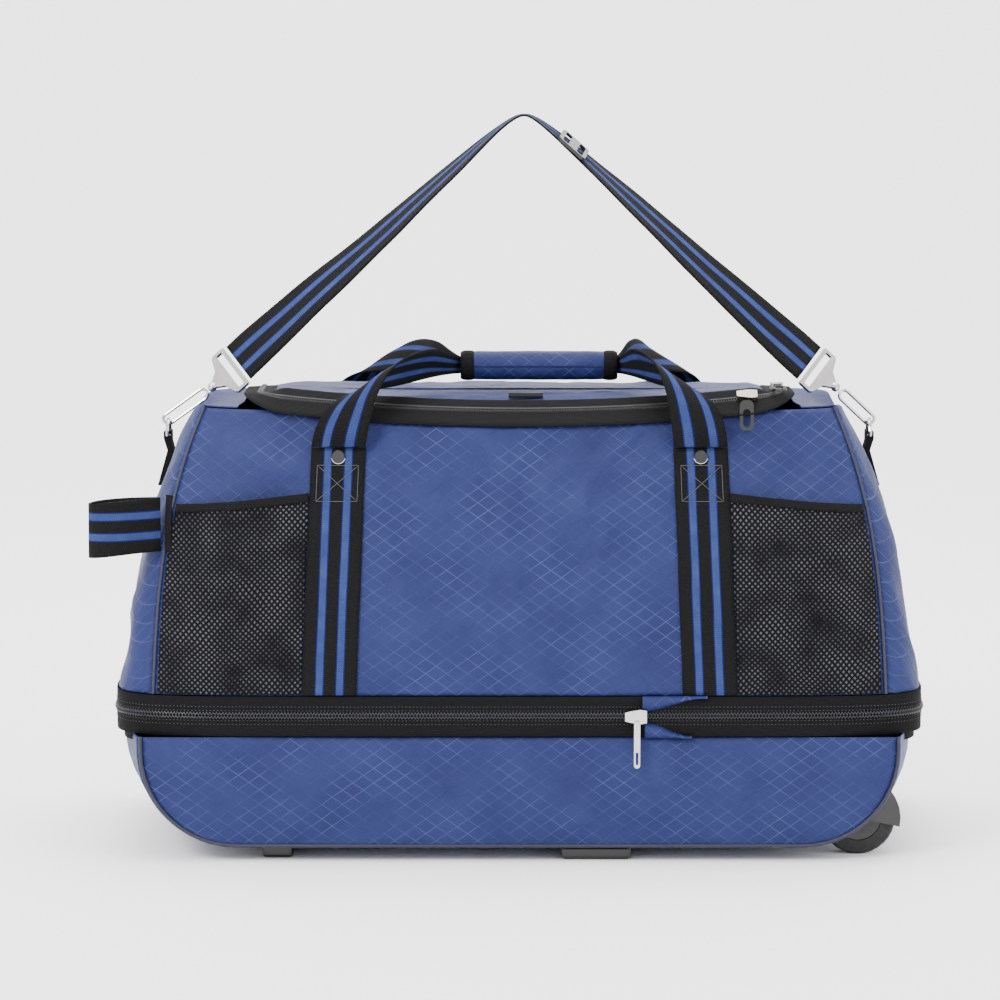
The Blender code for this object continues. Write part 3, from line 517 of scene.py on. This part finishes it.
def seam_line(sign, face, count=40):
    points = []
    for k in range(count + 1):
        z = mix(WALL_BASE, 0.4155, k / count)
        q = rise_share(z)
        x = seam_share(q) * half_length(q)
        points.append(at(sign * x, face * (depth_at(x, q) + 0.0006), z))
    return points


def piping():
    for face_name, face in (("front", -1.0), ("back", 1.0)):
        for name, sign in (("left", -1.0), ("right", 1.0)):
            wire_piece(f"{face_name}_{name}_piping", seam_line(sign, face), 0.0016, PLAIN_PIPE,
                       "upper_bag")
        rim = []
        height = TUB_TOP - TUB_BASE - TUB_RADIUS
        for k in range(6):
            rim.append((-TUB_HALF, TUB_TOP - height * k / 6))
        for k in range(13):
            turn = math.pi + math.pi / 2 * k / 12
            rim.append((-TUB_HALF + TUB_RADIUS + TUB_RADIUS * math.cos(turn),
                        TUB_BASE + TUB_RADIUS + TUB_RADIUS * math.sin(turn)))
        rim += [(-x, z) for x, z in reversed(rim)]
        points = [at(x * 0.9965, face * (HALF_DEPTH + 0.0006), z + 0.0006) for x, z in rim]
        wire_piece(f"tub_{face_name}_piping", points, 0.0019, PLAIN_PIPE, "tub")


PLAIN_PIPE = make_hard("piping_looks", (0.0040, 0.0045, 0.022), 0.62, 0.0, 1500.0, 0.0002)


# ---------------------------------------------------------------- lower tub
def tub_half_width(z):
    if z >= TUB_BASE + TUB_RADIUS:
        return TUB_HALF
    drop = TUB_RADIUS - (z - TUB_BASE)
    return TUB_HALF - TUB_RADIUS + math.sqrt(max(0.0, TUB_RADIUS ** 2 - drop ** 2))


def tub_walls():
    for name, face in (("front", -1.0), ("back", 1.0)):
        def wall_point(u, v):
            z = TUB_BASE + 0.0004 + (TUB_TOP - TUB_BASE - 0.0004) * v ** 1.8
            s = 2.0 * u - 1.0
            share = math.sin(math.pi * v) * (1.0 - s * s)
            x = (tub_half_width(z) - 0.0025) * s
            held = ease((1.0 - abs(s)) / 0.08) * math.sin(math.pi * v)
            swell = 0.0045 * share + 0.0048 * folds(x, z, 41.0 + face, 11.0) * held
            return at(x, face * (HALF_DEPTH + swell), z)

        cloth(f"tub_{name}_cloth", wall_point, 130, 30, NYLON, "tub", [f"tub_{name}_panel"],
              side=-1.0 if face < 0 else 1.0, uv=side_uv)

    for name, sign in (("left", -1.0),):
        def end_point(u, v):
            edge_y = HALF_DEPTH - 0.0030
            straight = TUB_TOP - TUB_BASE - TUB_RADIUS
            gone = v * (straight + TUB_RADIUS * math.pi / 2)
            if gone < straight:
                x, z, lean = TUB_HALF, TUB_TOP - gone, 1.0
            else:
                turn = (gone - straight) / TUB_RADIUS
                x = TUB_HALF - TUB_RADIUS + TUB_RADIUS * math.cos(turn)
                z = TUB_BASE + TUB_RADIUS - TUB_RADIUS * math.sin(turn)
                lean = math.cos(turn)
            y = edge_y * (2.0 * u - 1.0)
            swell = 0.022 + 0.0045 * folds(y, z, 47.0, 12.0)
            return at(sign * (x + swell * lean * (1.0 - (y / HALF_DEPTH) ** 2)), y, z)

        cloth(f"tub_{name}_end_cloth", end_point, 50, 40, NYLON, "tub", [f"tub_{name}_end"],
              side=-1.0 if sign > 0 else 1.0, uv=end_uv)


# ---------------------------------------------------------------- belt zip
def belt_ring(count_long=240, count_short=100):
    seam_x = seam_share(0.0) * HALF_LENGTH
    seam_y = depth_at(seam_x, 0.0)
    ring = []
    for k in range(count_long):
        x = seam_x * (2.0 * k / count_long - 1.0)
        ring.append((x, -depth_at(x, 0.0)))
    for k in range(count_short):
        y = seam_y * (2.0 * k / count_short - 1.0)
        ring.append((length_at(y, 0.0), y))
    ring += [(-x, -y) for x, y in ring]
    result = []
    for x, y in ring:
        out = Vector((math.copysign(abs(x / HALF_LENGTH) ** 7 / HALF_LENGTH, x),
                      math.copysign(abs(y / HALF_DEPTH) ** 7 / HALF_DEPTH, y)))
        out.normalize()
        result.append((x, y, out.x, out.y))
    return result


def even_steps(ring, step):
    """The ring's points at even distances along it."""
    lengths = [0.0]
    for (xa, ya, _, _), (xb, yb, _, _) in zip(ring, ring[1:] + ring[:1]):
        lengths.append(lengths[-1] + math.hypot(xb - xa, yb - ya))
    count = int(lengths[-1] / step)
    spots = []
    place = 0
    for k in range(count):
        goal = lengths[-1] * k / count
        while lengths[place + 1] < goal:
            place += 1
        share = (goal - lengths[place]) / (lengths[place + 1] - lengths[place])
        here = ring[place]
        there = ring[(place + 1) % len(ring)]
        spots.append(tuple(mix(p, q, share) for p, q in zip(here, there)))
    return spots


def belt():
    ring = belt_ring(110, 50)
    count = len(ring)
    for name, low, high, body, node in (
        ("belt_tape_upper", BELT_Z + 0.0008, BELT_HIGH.z, "upper_bag", "belt_stringer_upper"),
        ("belt_tape_lower", TAPE_LOW.z, BELT_Z - 0.0008, "tub", "belt_stringer_lower"),
    ):
        def tape(u, v):
            x, y, ox, oy = ring[round(u * count) % count]
            z = mix(low, high, v)
            wave = 0.0006 * noise.noise(Vector((x * 14.0, y * 14.0, 3.0))) + 0.0006
            return at(x + ox * wave, y + oy * wave, z)

        cloth(name, tape, count, 4, PLAIN_WEB, body, [node], side=1.0, ring=True)
        teeth = []
        sign = 1.0 if body == "upper_bag" else -1.0
        for k, (x, y, ox, oy) in enumerate(even_steps(ring, 0.00150)):
            out = 0.0031 if k % 2 else 0.0016
            z = BELT_Z + sign * (0.0004 if k % 2 else 0.0030)
            teeth.append(at(x + ox * out, y + oy * out, z))
        wire_piece(name + "_coil", teeth, 0.00082, COIL, body, cyclic=True, detail=0)
        for row in (0.0046, 0.0082):
            dots = even_steps(ring, 0.0034)
            stitches(name + f"_row_{int(row * 10000)}", dots, BELT_Z + sign * row, body)


def belt_backing():
    """The dark inner edge of the sewn panels, just inside the belt."""
    ring = belt_ring(110, 50)
    count = len(ring)
    for name, low, high, body in (("belt_lining_upper", BELT_HIGH.z - 0.006, BELT_HIGH.z + 0.010, "upper_bag"),
                                  ("belt_lining_lower", TAPE_LOW.z - 0.008, TAPE_LOW.z + 0.006, "tub")):
        def tape(u, v):
            x, y, ox, oy = ring[round(u * count) % count]
            inset = 0.0030 if body == "upper_bag" else 0.0045
            return at(x - ox * inset, y - oy * inset, mix(low, high, v))

        cloth(name, tape, count, 2, PLAIN_WEB, body, [], side=-1.0, ring=True)


def wedge():
    """Two folds of gusset above and below the belt tape, beside the slider at rest.

    They stay where they are when the slider travels.
    """
    low, high = box_of("belt_slider")
    start = high.x - BODY.x - 0.004

    def above(u, v):
        x = start + 0.060 * u
        top = BELT_HIGH.z + 0.0002
        base = mix(BELT_Z + 0.0045, top - 0.0008, ease(u * 1.05))
        return at(x, -depth_at(x, 0.0) - 0.0024 - 0.0046 * math.sin(math.pi * v), mix(base, top, v))

    def below(u, v):
        x = start + 0.002 + 0.044 * u
        base = TAPE_LOW.z - 0.0006
        top = mix(BELT_Z - 0.0065, base + 0.0008, ease(u * 1.05))
        return at(x, -depth_at(x, 0.0) - 0.0024 - 0.0046 * math.sin(math.pi * v), mix(base, top, v))

    cloth("gusset_fold_upper", above, 30, 8, NYLON, "upper_bag", [], thickness=0.0008, side=1.0,
          uv=side_uv, width=0.060)
    cloth("gusset_fold_lower", below, 24, 8, NYLON, "tub", [], thickness=0.0008, side=1.0,
          uv=side_uv, width=0.044)


def rivet_highlight_arcs():
    """A chrome arc round the lower side of each rivet: a painted highlight where the rivet's lower edge
    catches the light.
    """
    for face_name, face in (("front", -1.0), ("back", 1.0)):
        for side in ("left", "right"):
            low, high = box_of(f"rivet_{face_name}_{side}")
            middle = (low + high) / 2
            points = []
            for k in range(25):
                turn = math.pi * (1.08 + 0.84 * k / 24)
                lift = 0.0062 * math.sin(turn)
                out = face * (-0.0010 - 0.23 * lift)
                points.append(Vector((middle.x + 0.0062 * math.cos(turn), middle.y + out, middle.z + lift)))
            # chrome arc on the lower side only, a painted highlight of the rivet's edge
            wire_piece(f"rivet_highlight_arc_{face_name}_{side}", points, 0.0007, CHROME, "upper_bag")


def stitches(name, dots, z, body):
    """A row of short stitches round the belt."""
    mesh = bpy.data.meshes.new(name)
    shape = bmesh.new()
    for (x, y, ox, oy) in dots:
        along = Vector((-oy, ox, 0.0)) * 0.0010
        up = Vector((0.0, 0.0, 0.00032))
        out = Vector((ox, oy, 0.0))
        centre = at(x, y, z) + out * 0.0023
        ring = [shape.verts.new(centre + p) for p in (-along, up, along, -up)]
        top = shape.verts.new(centre + out * 0.0004)
        base = shape.verts.new(centre - out * 0.0004)
        for k in range(4):
            shape.faces.new((ring[k], ring[(k + 1) % 4], top))
            shape.faces.new((ring[(k + 1) % 4], ring[k], base))
    bmesh.ops.recalc_face_normals(shape, faces=shape.faces)
    shape.to_mesh(mesh)
    shape.free()
    return finish_piece(bpy.data.objects.new(name, mesh), THREAD, body)


# ---------------------------------------------------------------- webbing
def strap_x(z):
    return mix(STRAP_X_LOW, STRAP_X_HIGH, (z - WALL_BASE) / (0.3810 - WALL_BASE))


def flat_straps():
    for face_name, face in (("front", -1.0), ("back", 1.0)):
        for side_name, side in (("left", -1.0), ("right", 1.0)):
            node = f"{face_name}_strap_{side_name}"

            def point(u, v):
                z = mix(WALL_BASE + 0.0005, STRAP_HIGH.z - 0.0004, v)
                x = side * strap_x(z) + (u - 0.5) * WEB_WIDTH
                rim = 0.0007 * (abs(2.0 * u - 1.0)) ** 6
                return wall(x, z, 0.0009 - rim, face)

            cloth(node + "_web", point, 14, 60, STRIPED, "upper_bag", [node],
                  thickness=0.0018, side=1.0 if face < 0 else -1.0, width=WEB_WIDTH)
            box_stitch(node + "_stitch", side, face)


def box_stitch(name, side, face):
    """The boxed cross of thread below each rivet."""
    top, low, half = 0.3655, 0.3330, 0.0190

    def spot(dx, z):
        return wall(side * strap_x(z) + dx, z, 0.0030, face)

    box_line = [(-half, top), (half, top), (half, low), (-half, low),
                (-half, top), (half, low), (half, top), (-half, low)]
    points = []
    for (xa, za), (xb, zb) in zip(box_line, box_line[1:]):
        for k in range(10):
            points.append(spot(mix(xa, xb, k / 10), mix(za, zb, k / 10)))
    points.append(spot(*box_line[-1]))
    wire_piece(name, points, 0.00035, THREAD, "upper_bag", detail=0)


HANDLE_ROUTE = [(-0.1345, 0.3830, 0.00, 0.050), (-0.1405, 0.3950, 0.02, 0.050), (-0.1420, 0.4100, 0.06, 0.050),
                (-0.1380, 0.4270, 0.13, 0.048), (-0.1260, 0.4405, 0.24, 0.045), (-0.1080, 0.4480, 0.38, 0.042),
                (-0.0820, 0.4520, 0.56, 0.038), (-0.0500, 0.4530, 0.74, 0.030), (-0.0240, 0.4500, 0.89, 0.019),
                (-0.0080, 0.4480, 0.982, 0.015), (-0.0080, 0.4480, 1.04, 0.015)]
WRAP_LOW, WRAP_HIGH = box_of("handle_wrap")
WRAP_X = (WRAP_LOW.x + WRAP_HIGH.x) / 2 - BODY.x
WRAP_HALF = (WRAP_HIGH.x - WRAP_LOW.x) / 2


def smooth_route(keys, share):
    """A rounded path through rows of numbers, share from 0 to 1."""
    place = share * (len(keys) - 1)
    k = min(len(keys) - 2, int(place))
    t = place - k
    before = keys[max(0, k - 1)]
    after = keys[min(len(keys) - 1, k + 2)]
    result = []
    for p0, p1, p2, p3 in zip(before, keys[k], keys[k + 1], after):
        result.append(0.5 * (2 * p1 + (p2 - p0) * t + (2 * p0 - 5 * p1 + 4 * p2 - p3) * t * t
                             + (3 * p1 - p0 - 3 * p2 + p3) * t ** 3))
    return result


def handle_spot(face, side, share, u):
    y, z, reach, width = smooth_route(HANDLE_ROUTE, share)
    x = mix(side * STRAP_X_HIGH, WRAP_X + side * WRAP_HALF, reach)
    turn = math.radians(90.0) * min(1.0, max(0.0, reach)) ** 0.8
    across = Vector((math.cos(turn), 0.0, -abs(math.sin(turn)) * side))
    if side > 0:
        across = Vector((math.cos(turn), 0.0, -math.sin(turn)))
    else:
        across = Vector((math.cos(turn), 0.0, math.sin(turn)))
    if face > 0:
        y = 0.0010 if reach > 1.0 else -y - 0.0010
    fold = 0.0012 * math.sin(9.0 * share + 6.0 * u) * ease(share / 0.2) * ease((0.85 - share) / 0.2)
    return at(x, y + fold, z + fold) + across * width * (u - 0.5)


def handles():
    for name, face in (("front_handle", -1.0), ("back_handle", 1.0)):
        body = JOINED[name]
        for side_name, side in (("left", -1.0), ("right", 1.0)):
            def point(u, v):
                return handle_spot(face, side, v, u)

            replaced = [name] if side < 0 else []
            made = cloth(f"{name}_{side_name}_arm", point, 12, 60, STRIPED, body, replaced,
                         thickness=0.0018, side=0.0, width=WEB_WIDTH)
    body = JOINED["handle_wrap"]
    middle = middle_of("handle_wrap")
    wrap_y = WRAP_LOW.y + 0.0140
    wrap_z = middle.z

    def grip(u, v):
        turn = 2.0 * math.pi * v * 0.985 + 0.35
        x = mix(WRAP_LOW.x + 0.002, WRAP_HIGH.x - 0.002, u)
        end = 1.0 - 0.10 * (abs(2.0 * u - 1.0)) ** 8
        radius = 0.0142 * end + 0.0009 * folds(x, v * 0.09, 61.0, 22.0)
        squeeze = 1.0 - 0.16 * abs(math.sin(turn)) ** 3
        return Vector((x, wrap_y + radius * math.cos(turn) * 1.05, wrap_z + radius * math.sin(turn) * squeeze))

    def grip_uv(p):
        return (p.x, math.atan2(p.z - wrap_z, p.y - wrap_y) * 0.0142)

    cloth("handle_wrap_cloth", grip, 60, 56, NYLON, body, ["handle_wrap"], thickness=0.0018,
          side=-1.0, uv=grip_uv)
    for name, x in (("left", WRAP_LOW.x + 0.0055), ("right", WRAP_HIGH.x - 0.0055)):
        def cuff(u, v):
            turn = 2.0 * math.pi * v * 0.985 + 0.35
            radius = 0.0155 - 0.0018 * abs(2.0 * u - 1.0) ** 3
            squeeze = 1.0 - 0.16 * abs(math.sin(turn)) ** 3
            return Vector((x + (u - 0.5) * 0.0130, wrap_y + radius * math.cos(turn) * 1.05,
                           wrap_z + radius * math.sin(turn) * squeeze))

        cloth(f"wrap_{name}_binding", cuff, 8, 48, PLAIN_WEB, body, [], thickness=0.0012,
              side=-1.0, width=0.013)


def shoulder_strap():
    apex = STRAP_BOX[1].z
    swing = middle_of("shoulder_webbing")
    apex_x = 0.005
    apex_z = apex - 0.0005
    low_x = STRAP_BOX[0].x - BODY.x
    high_x = STRAP_BOX[1].x - BODY.x
    strap_y = swing.y - BODY.y
    top = 0.6850

    def height(x):
        return top - 0.905 * (math.hypot(x - apex_x, 0.012) - 0.012)

    def point(u, v):
        start = apex_x - 0.300 + 0.0345 * 0.741
        end = apex_x + 0.300 - 0.0345 * 0.741
        x = mix(start, end, v)
        step = 0.001
        tangent = Vector((2 * step, 0.0, height(x + step) - height(x - step))).normalized()
        upward = Vector((-tangent.z, 0.0, tangent.x))
        twist = math.radians(90.0 - 48.0 * min(1.0, abs(x - apex_x) / 0.26))
        across = upward * math.cos(twist) + Vector((0.0, 1.0, 0.0)) * math.sin(twist)
        sag = 0.0028 * math.sin(math.pi * v * 2.0) * noise.noise(Vector((x * 6.0, 0.0, 71.0)))
        ripple = 0.0010 * noise.noise(Vector((x * 25.0, u * 1.5, 73.0)))
        place = Vector((x, strap_y, height(x))) + upward * sag + across * WEB_WIDTH * (u - 0.5)
        return at(*place) + across.cross(tangent) * ripple

    cloth("shoulder_web", point, 14, 200, STRIPED, "shoulder_strap", ["shoulder_webbing"],
          thickness=0.0018, side=0.0, width=WEB_WIDTH)


def end_loop():
    low, high = LOOP_BOX
    joint = next(j for j in frame["record"]["behaviour"]["joints"] if j["name"] == "pull_loop_swing")
    hinge = Vector(joint["pos_m"])
    way = Vector((-0.96, -0.28, 0.0))
    side_way = Vector((0.28, -0.96, 0.0))

    def point(u, v):
        turn = 2.0 * math.pi * u
        along = (1.0 - math.cos(turn)) / 2.0
        wide = 0.0195 * math.sin(turn) * (0.35 + 0.65 * along)
        ripple = 0.0012 * noise.noise(Vector((u * 7.0, v * 2.0, 81.0)))
        spot = hinge + way * (0.0015 + 0.0675 * along) + side_way * (wide + ripple)
        return Vector((spot.x, spot.y, mix(low.z, high.z, v) - 0.004 * along * along))

    def loop_uv(p):
        return (p.z - (low.z + high.z) / 2, (p - hinge).length)

    cloth("pull_loop_web", point, 72, 14, STRIPED, JOINED["pull_loop"], ["pull_loop"],
          thickness=0.0022, side=1.0, ring=True, uv=loop_uv, width=WEB_WIDTH)


# ---------------------------------------------------------------- net pockets
def pockets():
    for name, sign in (("left", -1.0), ("right", 1.0)):
        def place(u, v, extra=0.0):
            z = mix(WALL_BASE + 0.0010, mix(0.3400, 0.3280, u), v)
            q = rise_share(z)
            inner = strap_x(z) + WEB_WIDTH / 2 + 0.0010
            outer = seam_share(q) * half_length(q) - 0.0040
            swell = 0.0105 * math.sin(math.pi * u) * min(1.0, v * 1.6)
            swell *= 1.0 + 0.35 * folds(u * 0.2, v * 0.2, 91.0 + sign, 14.0)
            return wall(sign * mix(inner, outer, u), z, 0.0012 + swell + extra)

        node = "mesh_pocket_" + name
        cloth(node + "_net", place, 50, 60, NET, "upper_bag", [node], thickness=0.0006,
              side=-1.0 if sign < 0 else 1.0, uv=side_uv)

        def hem(u, v):
            return place(u, mix(0.957, 1.0, v), 0.0007)

        cloth(node + "_hem", hem, 50, 4, PLAIN_WEB, "upper_bag", [], thickness=0.0012,
              side=-1.0 if sign < 0 else 1.0, uv=side_uv, width=0.12)


# ---------------------------------------------------------------- lid and top zip
def zip_spot(s):
    side = ZIP_REAR_Y - (ZIP_FRONT_Y + ZIP_RADIUS)
    bend = ZIP_RADIUS * math.pi / 2
    front = 2.0 * (ZIP_X - ZIP_RADIUS)
    total = 2.0 * side + 2.0 * bend + front
    gone = s * total
    mirror = gone > total / 2
    if mirror:
        gone = total - gone
    if gone < side:
        x, y, nx, ny = -ZIP_X, ZIP_REAR_Y - gone, -1.0, 0.0
    elif gone < side + bend:
        turn = (gone - side) / ZIP_RADIUS
        nx, ny = -math.cos(turn), -math.sin(turn)
        x = -(ZIP_X - ZIP_RADIUS) + nx * ZIP_RADIUS
        y = ZIP_FRONT_Y + ZIP_RADIUS + ny * ZIP_RADIUS
    else:
        x, y, nx, ny = -(ZIP_X - ZIP_RADIUS) + (gone - side - bend), ZIP_FRONT_Y, 0.0, -1.0
    return (-x, y, -nx, ny) if mirror else (x, y, nx, ny)


def zip_height(x):
    return 0.4135 + 0.0145 * min(1.0, (x / ZIP_X) ** 2)


def zip_place(s, out, lift):
    x, y, nx, ny = zip_spot(s)
    slope = 0.05 + 0.60 * ny * ny
    size = math.hypot(1.0, slope)
    return at(x + nx * (out + lift * slope / size), y + ny * (out + lift * slope / size),
              zip_height(x) - slope * out + lift / size)


def lid_height(x, y):
    front_y = ZIP_FRONT_Y + 0.0134
    near = max(0.0, 1.0 - (y - front_y) / 0.030) ** 2
    edge = zip_height(x) + 0.0078 * max(0.0, 1.0 - abs(x / 0.229) ** 12)
    level = mix(0.4240, 0.4275, min(1.0, (x / 0.229) ** 4))
    return mix(level, edge, near)


def lid():
    def outer(u, v):
        ny = zip_spot(u)[3]
        return zip_place(u, mix(0.0008, 0.0150 + 0.0050 * ny * ny, v), -0.0002)

    def inner(u, v):
        return zip_place(u, mix(-0.0126, -0.0008, v), -0.0002)

    cloth("top_tape_outer", outer, 260, 4, PLAIN_WEB, "upper_bag", ["top_stringer_outer"],
          thickness=0.0010, side=-1.0, width=0.014)
    cloth("top_tape_lid", inner, 260, 4, PLAIN_WEB, "lid", ["lid_stringer"],
          thickness=0.0010, side=-1.0, width=0.014)
    for name, body, sign in (("lid_coil", "lid", -1.0), ("outer_coil", "upper_bag", 1.0)):
        teeth = []
        for k in range(560):
            s = k / 559
            teeth.append(zip_place(s, sign * (0.0004 if k % 2 else 0.0028), 0.0019 if k % 2 else 0.0006))
        wire_piece(name, teeth, 0.00058, COIL, body, detail=0)

    def top(u, v):
        front_y = ZIP_FRONT_Y + 0.0126
        radius = ZIP_RADIUS - 0.0126
        y = mix(front_y, -0.0030, v ** 1.5)
        short = max(0.0, (ZIP_FRONT_Y + ZIP_RADIUS) - y)
        half = ZIP_X - 0.0126 - radius + math.sqrt(max(0.0, radius ** 2 - short ** 2))
        s = 2.0 * u - 1.0
        x = half * s
        held = ease((1.0 - abs(s)) / 0.06) * ease(v / 0.12) * ease((1.0 - v) / 0.1)
        swell = 0.0028 * folds(x, y, 101.0, 13.0) * held
        return at(x, y, lid_height(x, y) + swell + 0.0004)

    cloth("lid_cloth", top, 120, 44, NYLON, "lid", ["lid_panel"], side=-1.0, uv=top_uv)


# ---------------------------------------------------------------- pieces kept from the frame
def keep_rest():
    """Hard pieces keep their own shape and get a full finish."""
    slots = {p["node"]: p["material_slot"] for p in frame["record"]["subparts"]}
    for name, node in NODES.items():
        if node.hide_render or node.type != "MESH":
            continue
        looks = SLOT_LOOKS[slots[name]]
        if name.startswith(("d_ring_left", "d_ring_right", "hook", "strap_frame", "belt_")):
            looks = CHROME
        if name.startswith("rivet"):
            looks = PLASTIC
        node.data.materials.clear()
        node.data.materials.append(looks)


# ---------------------------------------------------------------- stage
def stage():
    """A white cove, a bright even sky and three soft lamps, and the camera."""
    profile = [(-8.0, 0.0), (3.0, 0.0)]
    for k in range(1, 17):
        turn = math.pi / 2 * k / 16
        profile.append((3.0 + 2.0 * math.sin(turn), 2.0 - 2.0 * math.cos(turn)))
    profile.append((5.0, 9.0))
    mesh = bpy.data.meshes.new("cove")
    spots = [(x, y, z) for y, z in profile for x in (-14.0, 14.0)]
    faces = [(2 * k, 2 * k + 1, 2 * k + 3, 2 * k + 2) for k in range(len(profile) - 1)]
    mesh.from_pydata(spots, [], faces)
    for polygon in mesh.polygons:
        polygon.use_smooth = True
    cove = bpy.data.objects.new("cove", mesh)
    bpy.context.scene.collection.objects.link(cove)
    looks, tree, shader = shader_for("cove_looks")
    shader.inputs["Base Color"].default_value = (0.94, 0.94, 0.94, 1.0)
    shader.inputs["Roughness"].default_value = 0.9
    mesh.materials.append(looks)
    world = bpy.data.worlds.new("studio")
    world.use_nodes = True
    world.node_tree.nodes["Background"].inputs[0].default_value = (1.0, 1.0, 1.0, 1.0)
    world.node_tree.nodes["Background"].inputs[1].default_value = 2.1
    bpy.context.scene.world = world
    for name, place, size, power in (
        ("key", (-1.7, -2.4, 2.4), 1.1, 120.0),
        ("fill", (2.4, -2.0, 1.6), 2.0, 30.0),
        ("top", (0.2, 0.5, 3.0), 2.4, 70.0),
        ("wall", (0.0, 1.2, 4.5), 4.0, 260.0),
    ):
        light = bpy.data.lights.new(name, "AREA")
        light.size = size
        light.energy = power
        lamp = bpy.data.objects.new(name, light)
        lamp.location = place
        goal = Vector((0.0, 5.0, 1.2)) if name == "wall" else Vector((0.0, 0.0, 0.25))
        lamp.rotation_euler = (goal - Vector(place)).to_track_quat("-Z", "Y").to_euler()
        bpy.context.scene.collection.objects.link(lamp)
    camera = bpy.data.cameras.new("camera")
    camera.lens = 140.0
    camera.sensor_width = 36.0
    holder = bpy.data.objects.new("camera", camera)
    holder.location = (-0.0085, -3.7, 0.74)
    holder.rotation_euler = (math.radians(83.5), 0.0, 0.0)
    bpy.context.scene.collection.objects.link(holder)
    bpy.context.scene.camera = holder


upper_walls()
piping()
tub_walls()
belt()
belt_backing()
wedge()
rivet_highlight_arcs()
flat_straps()
handles()
shoulder_strap()
end_loop()
pockets()
lid()
keep_rest()
stage()
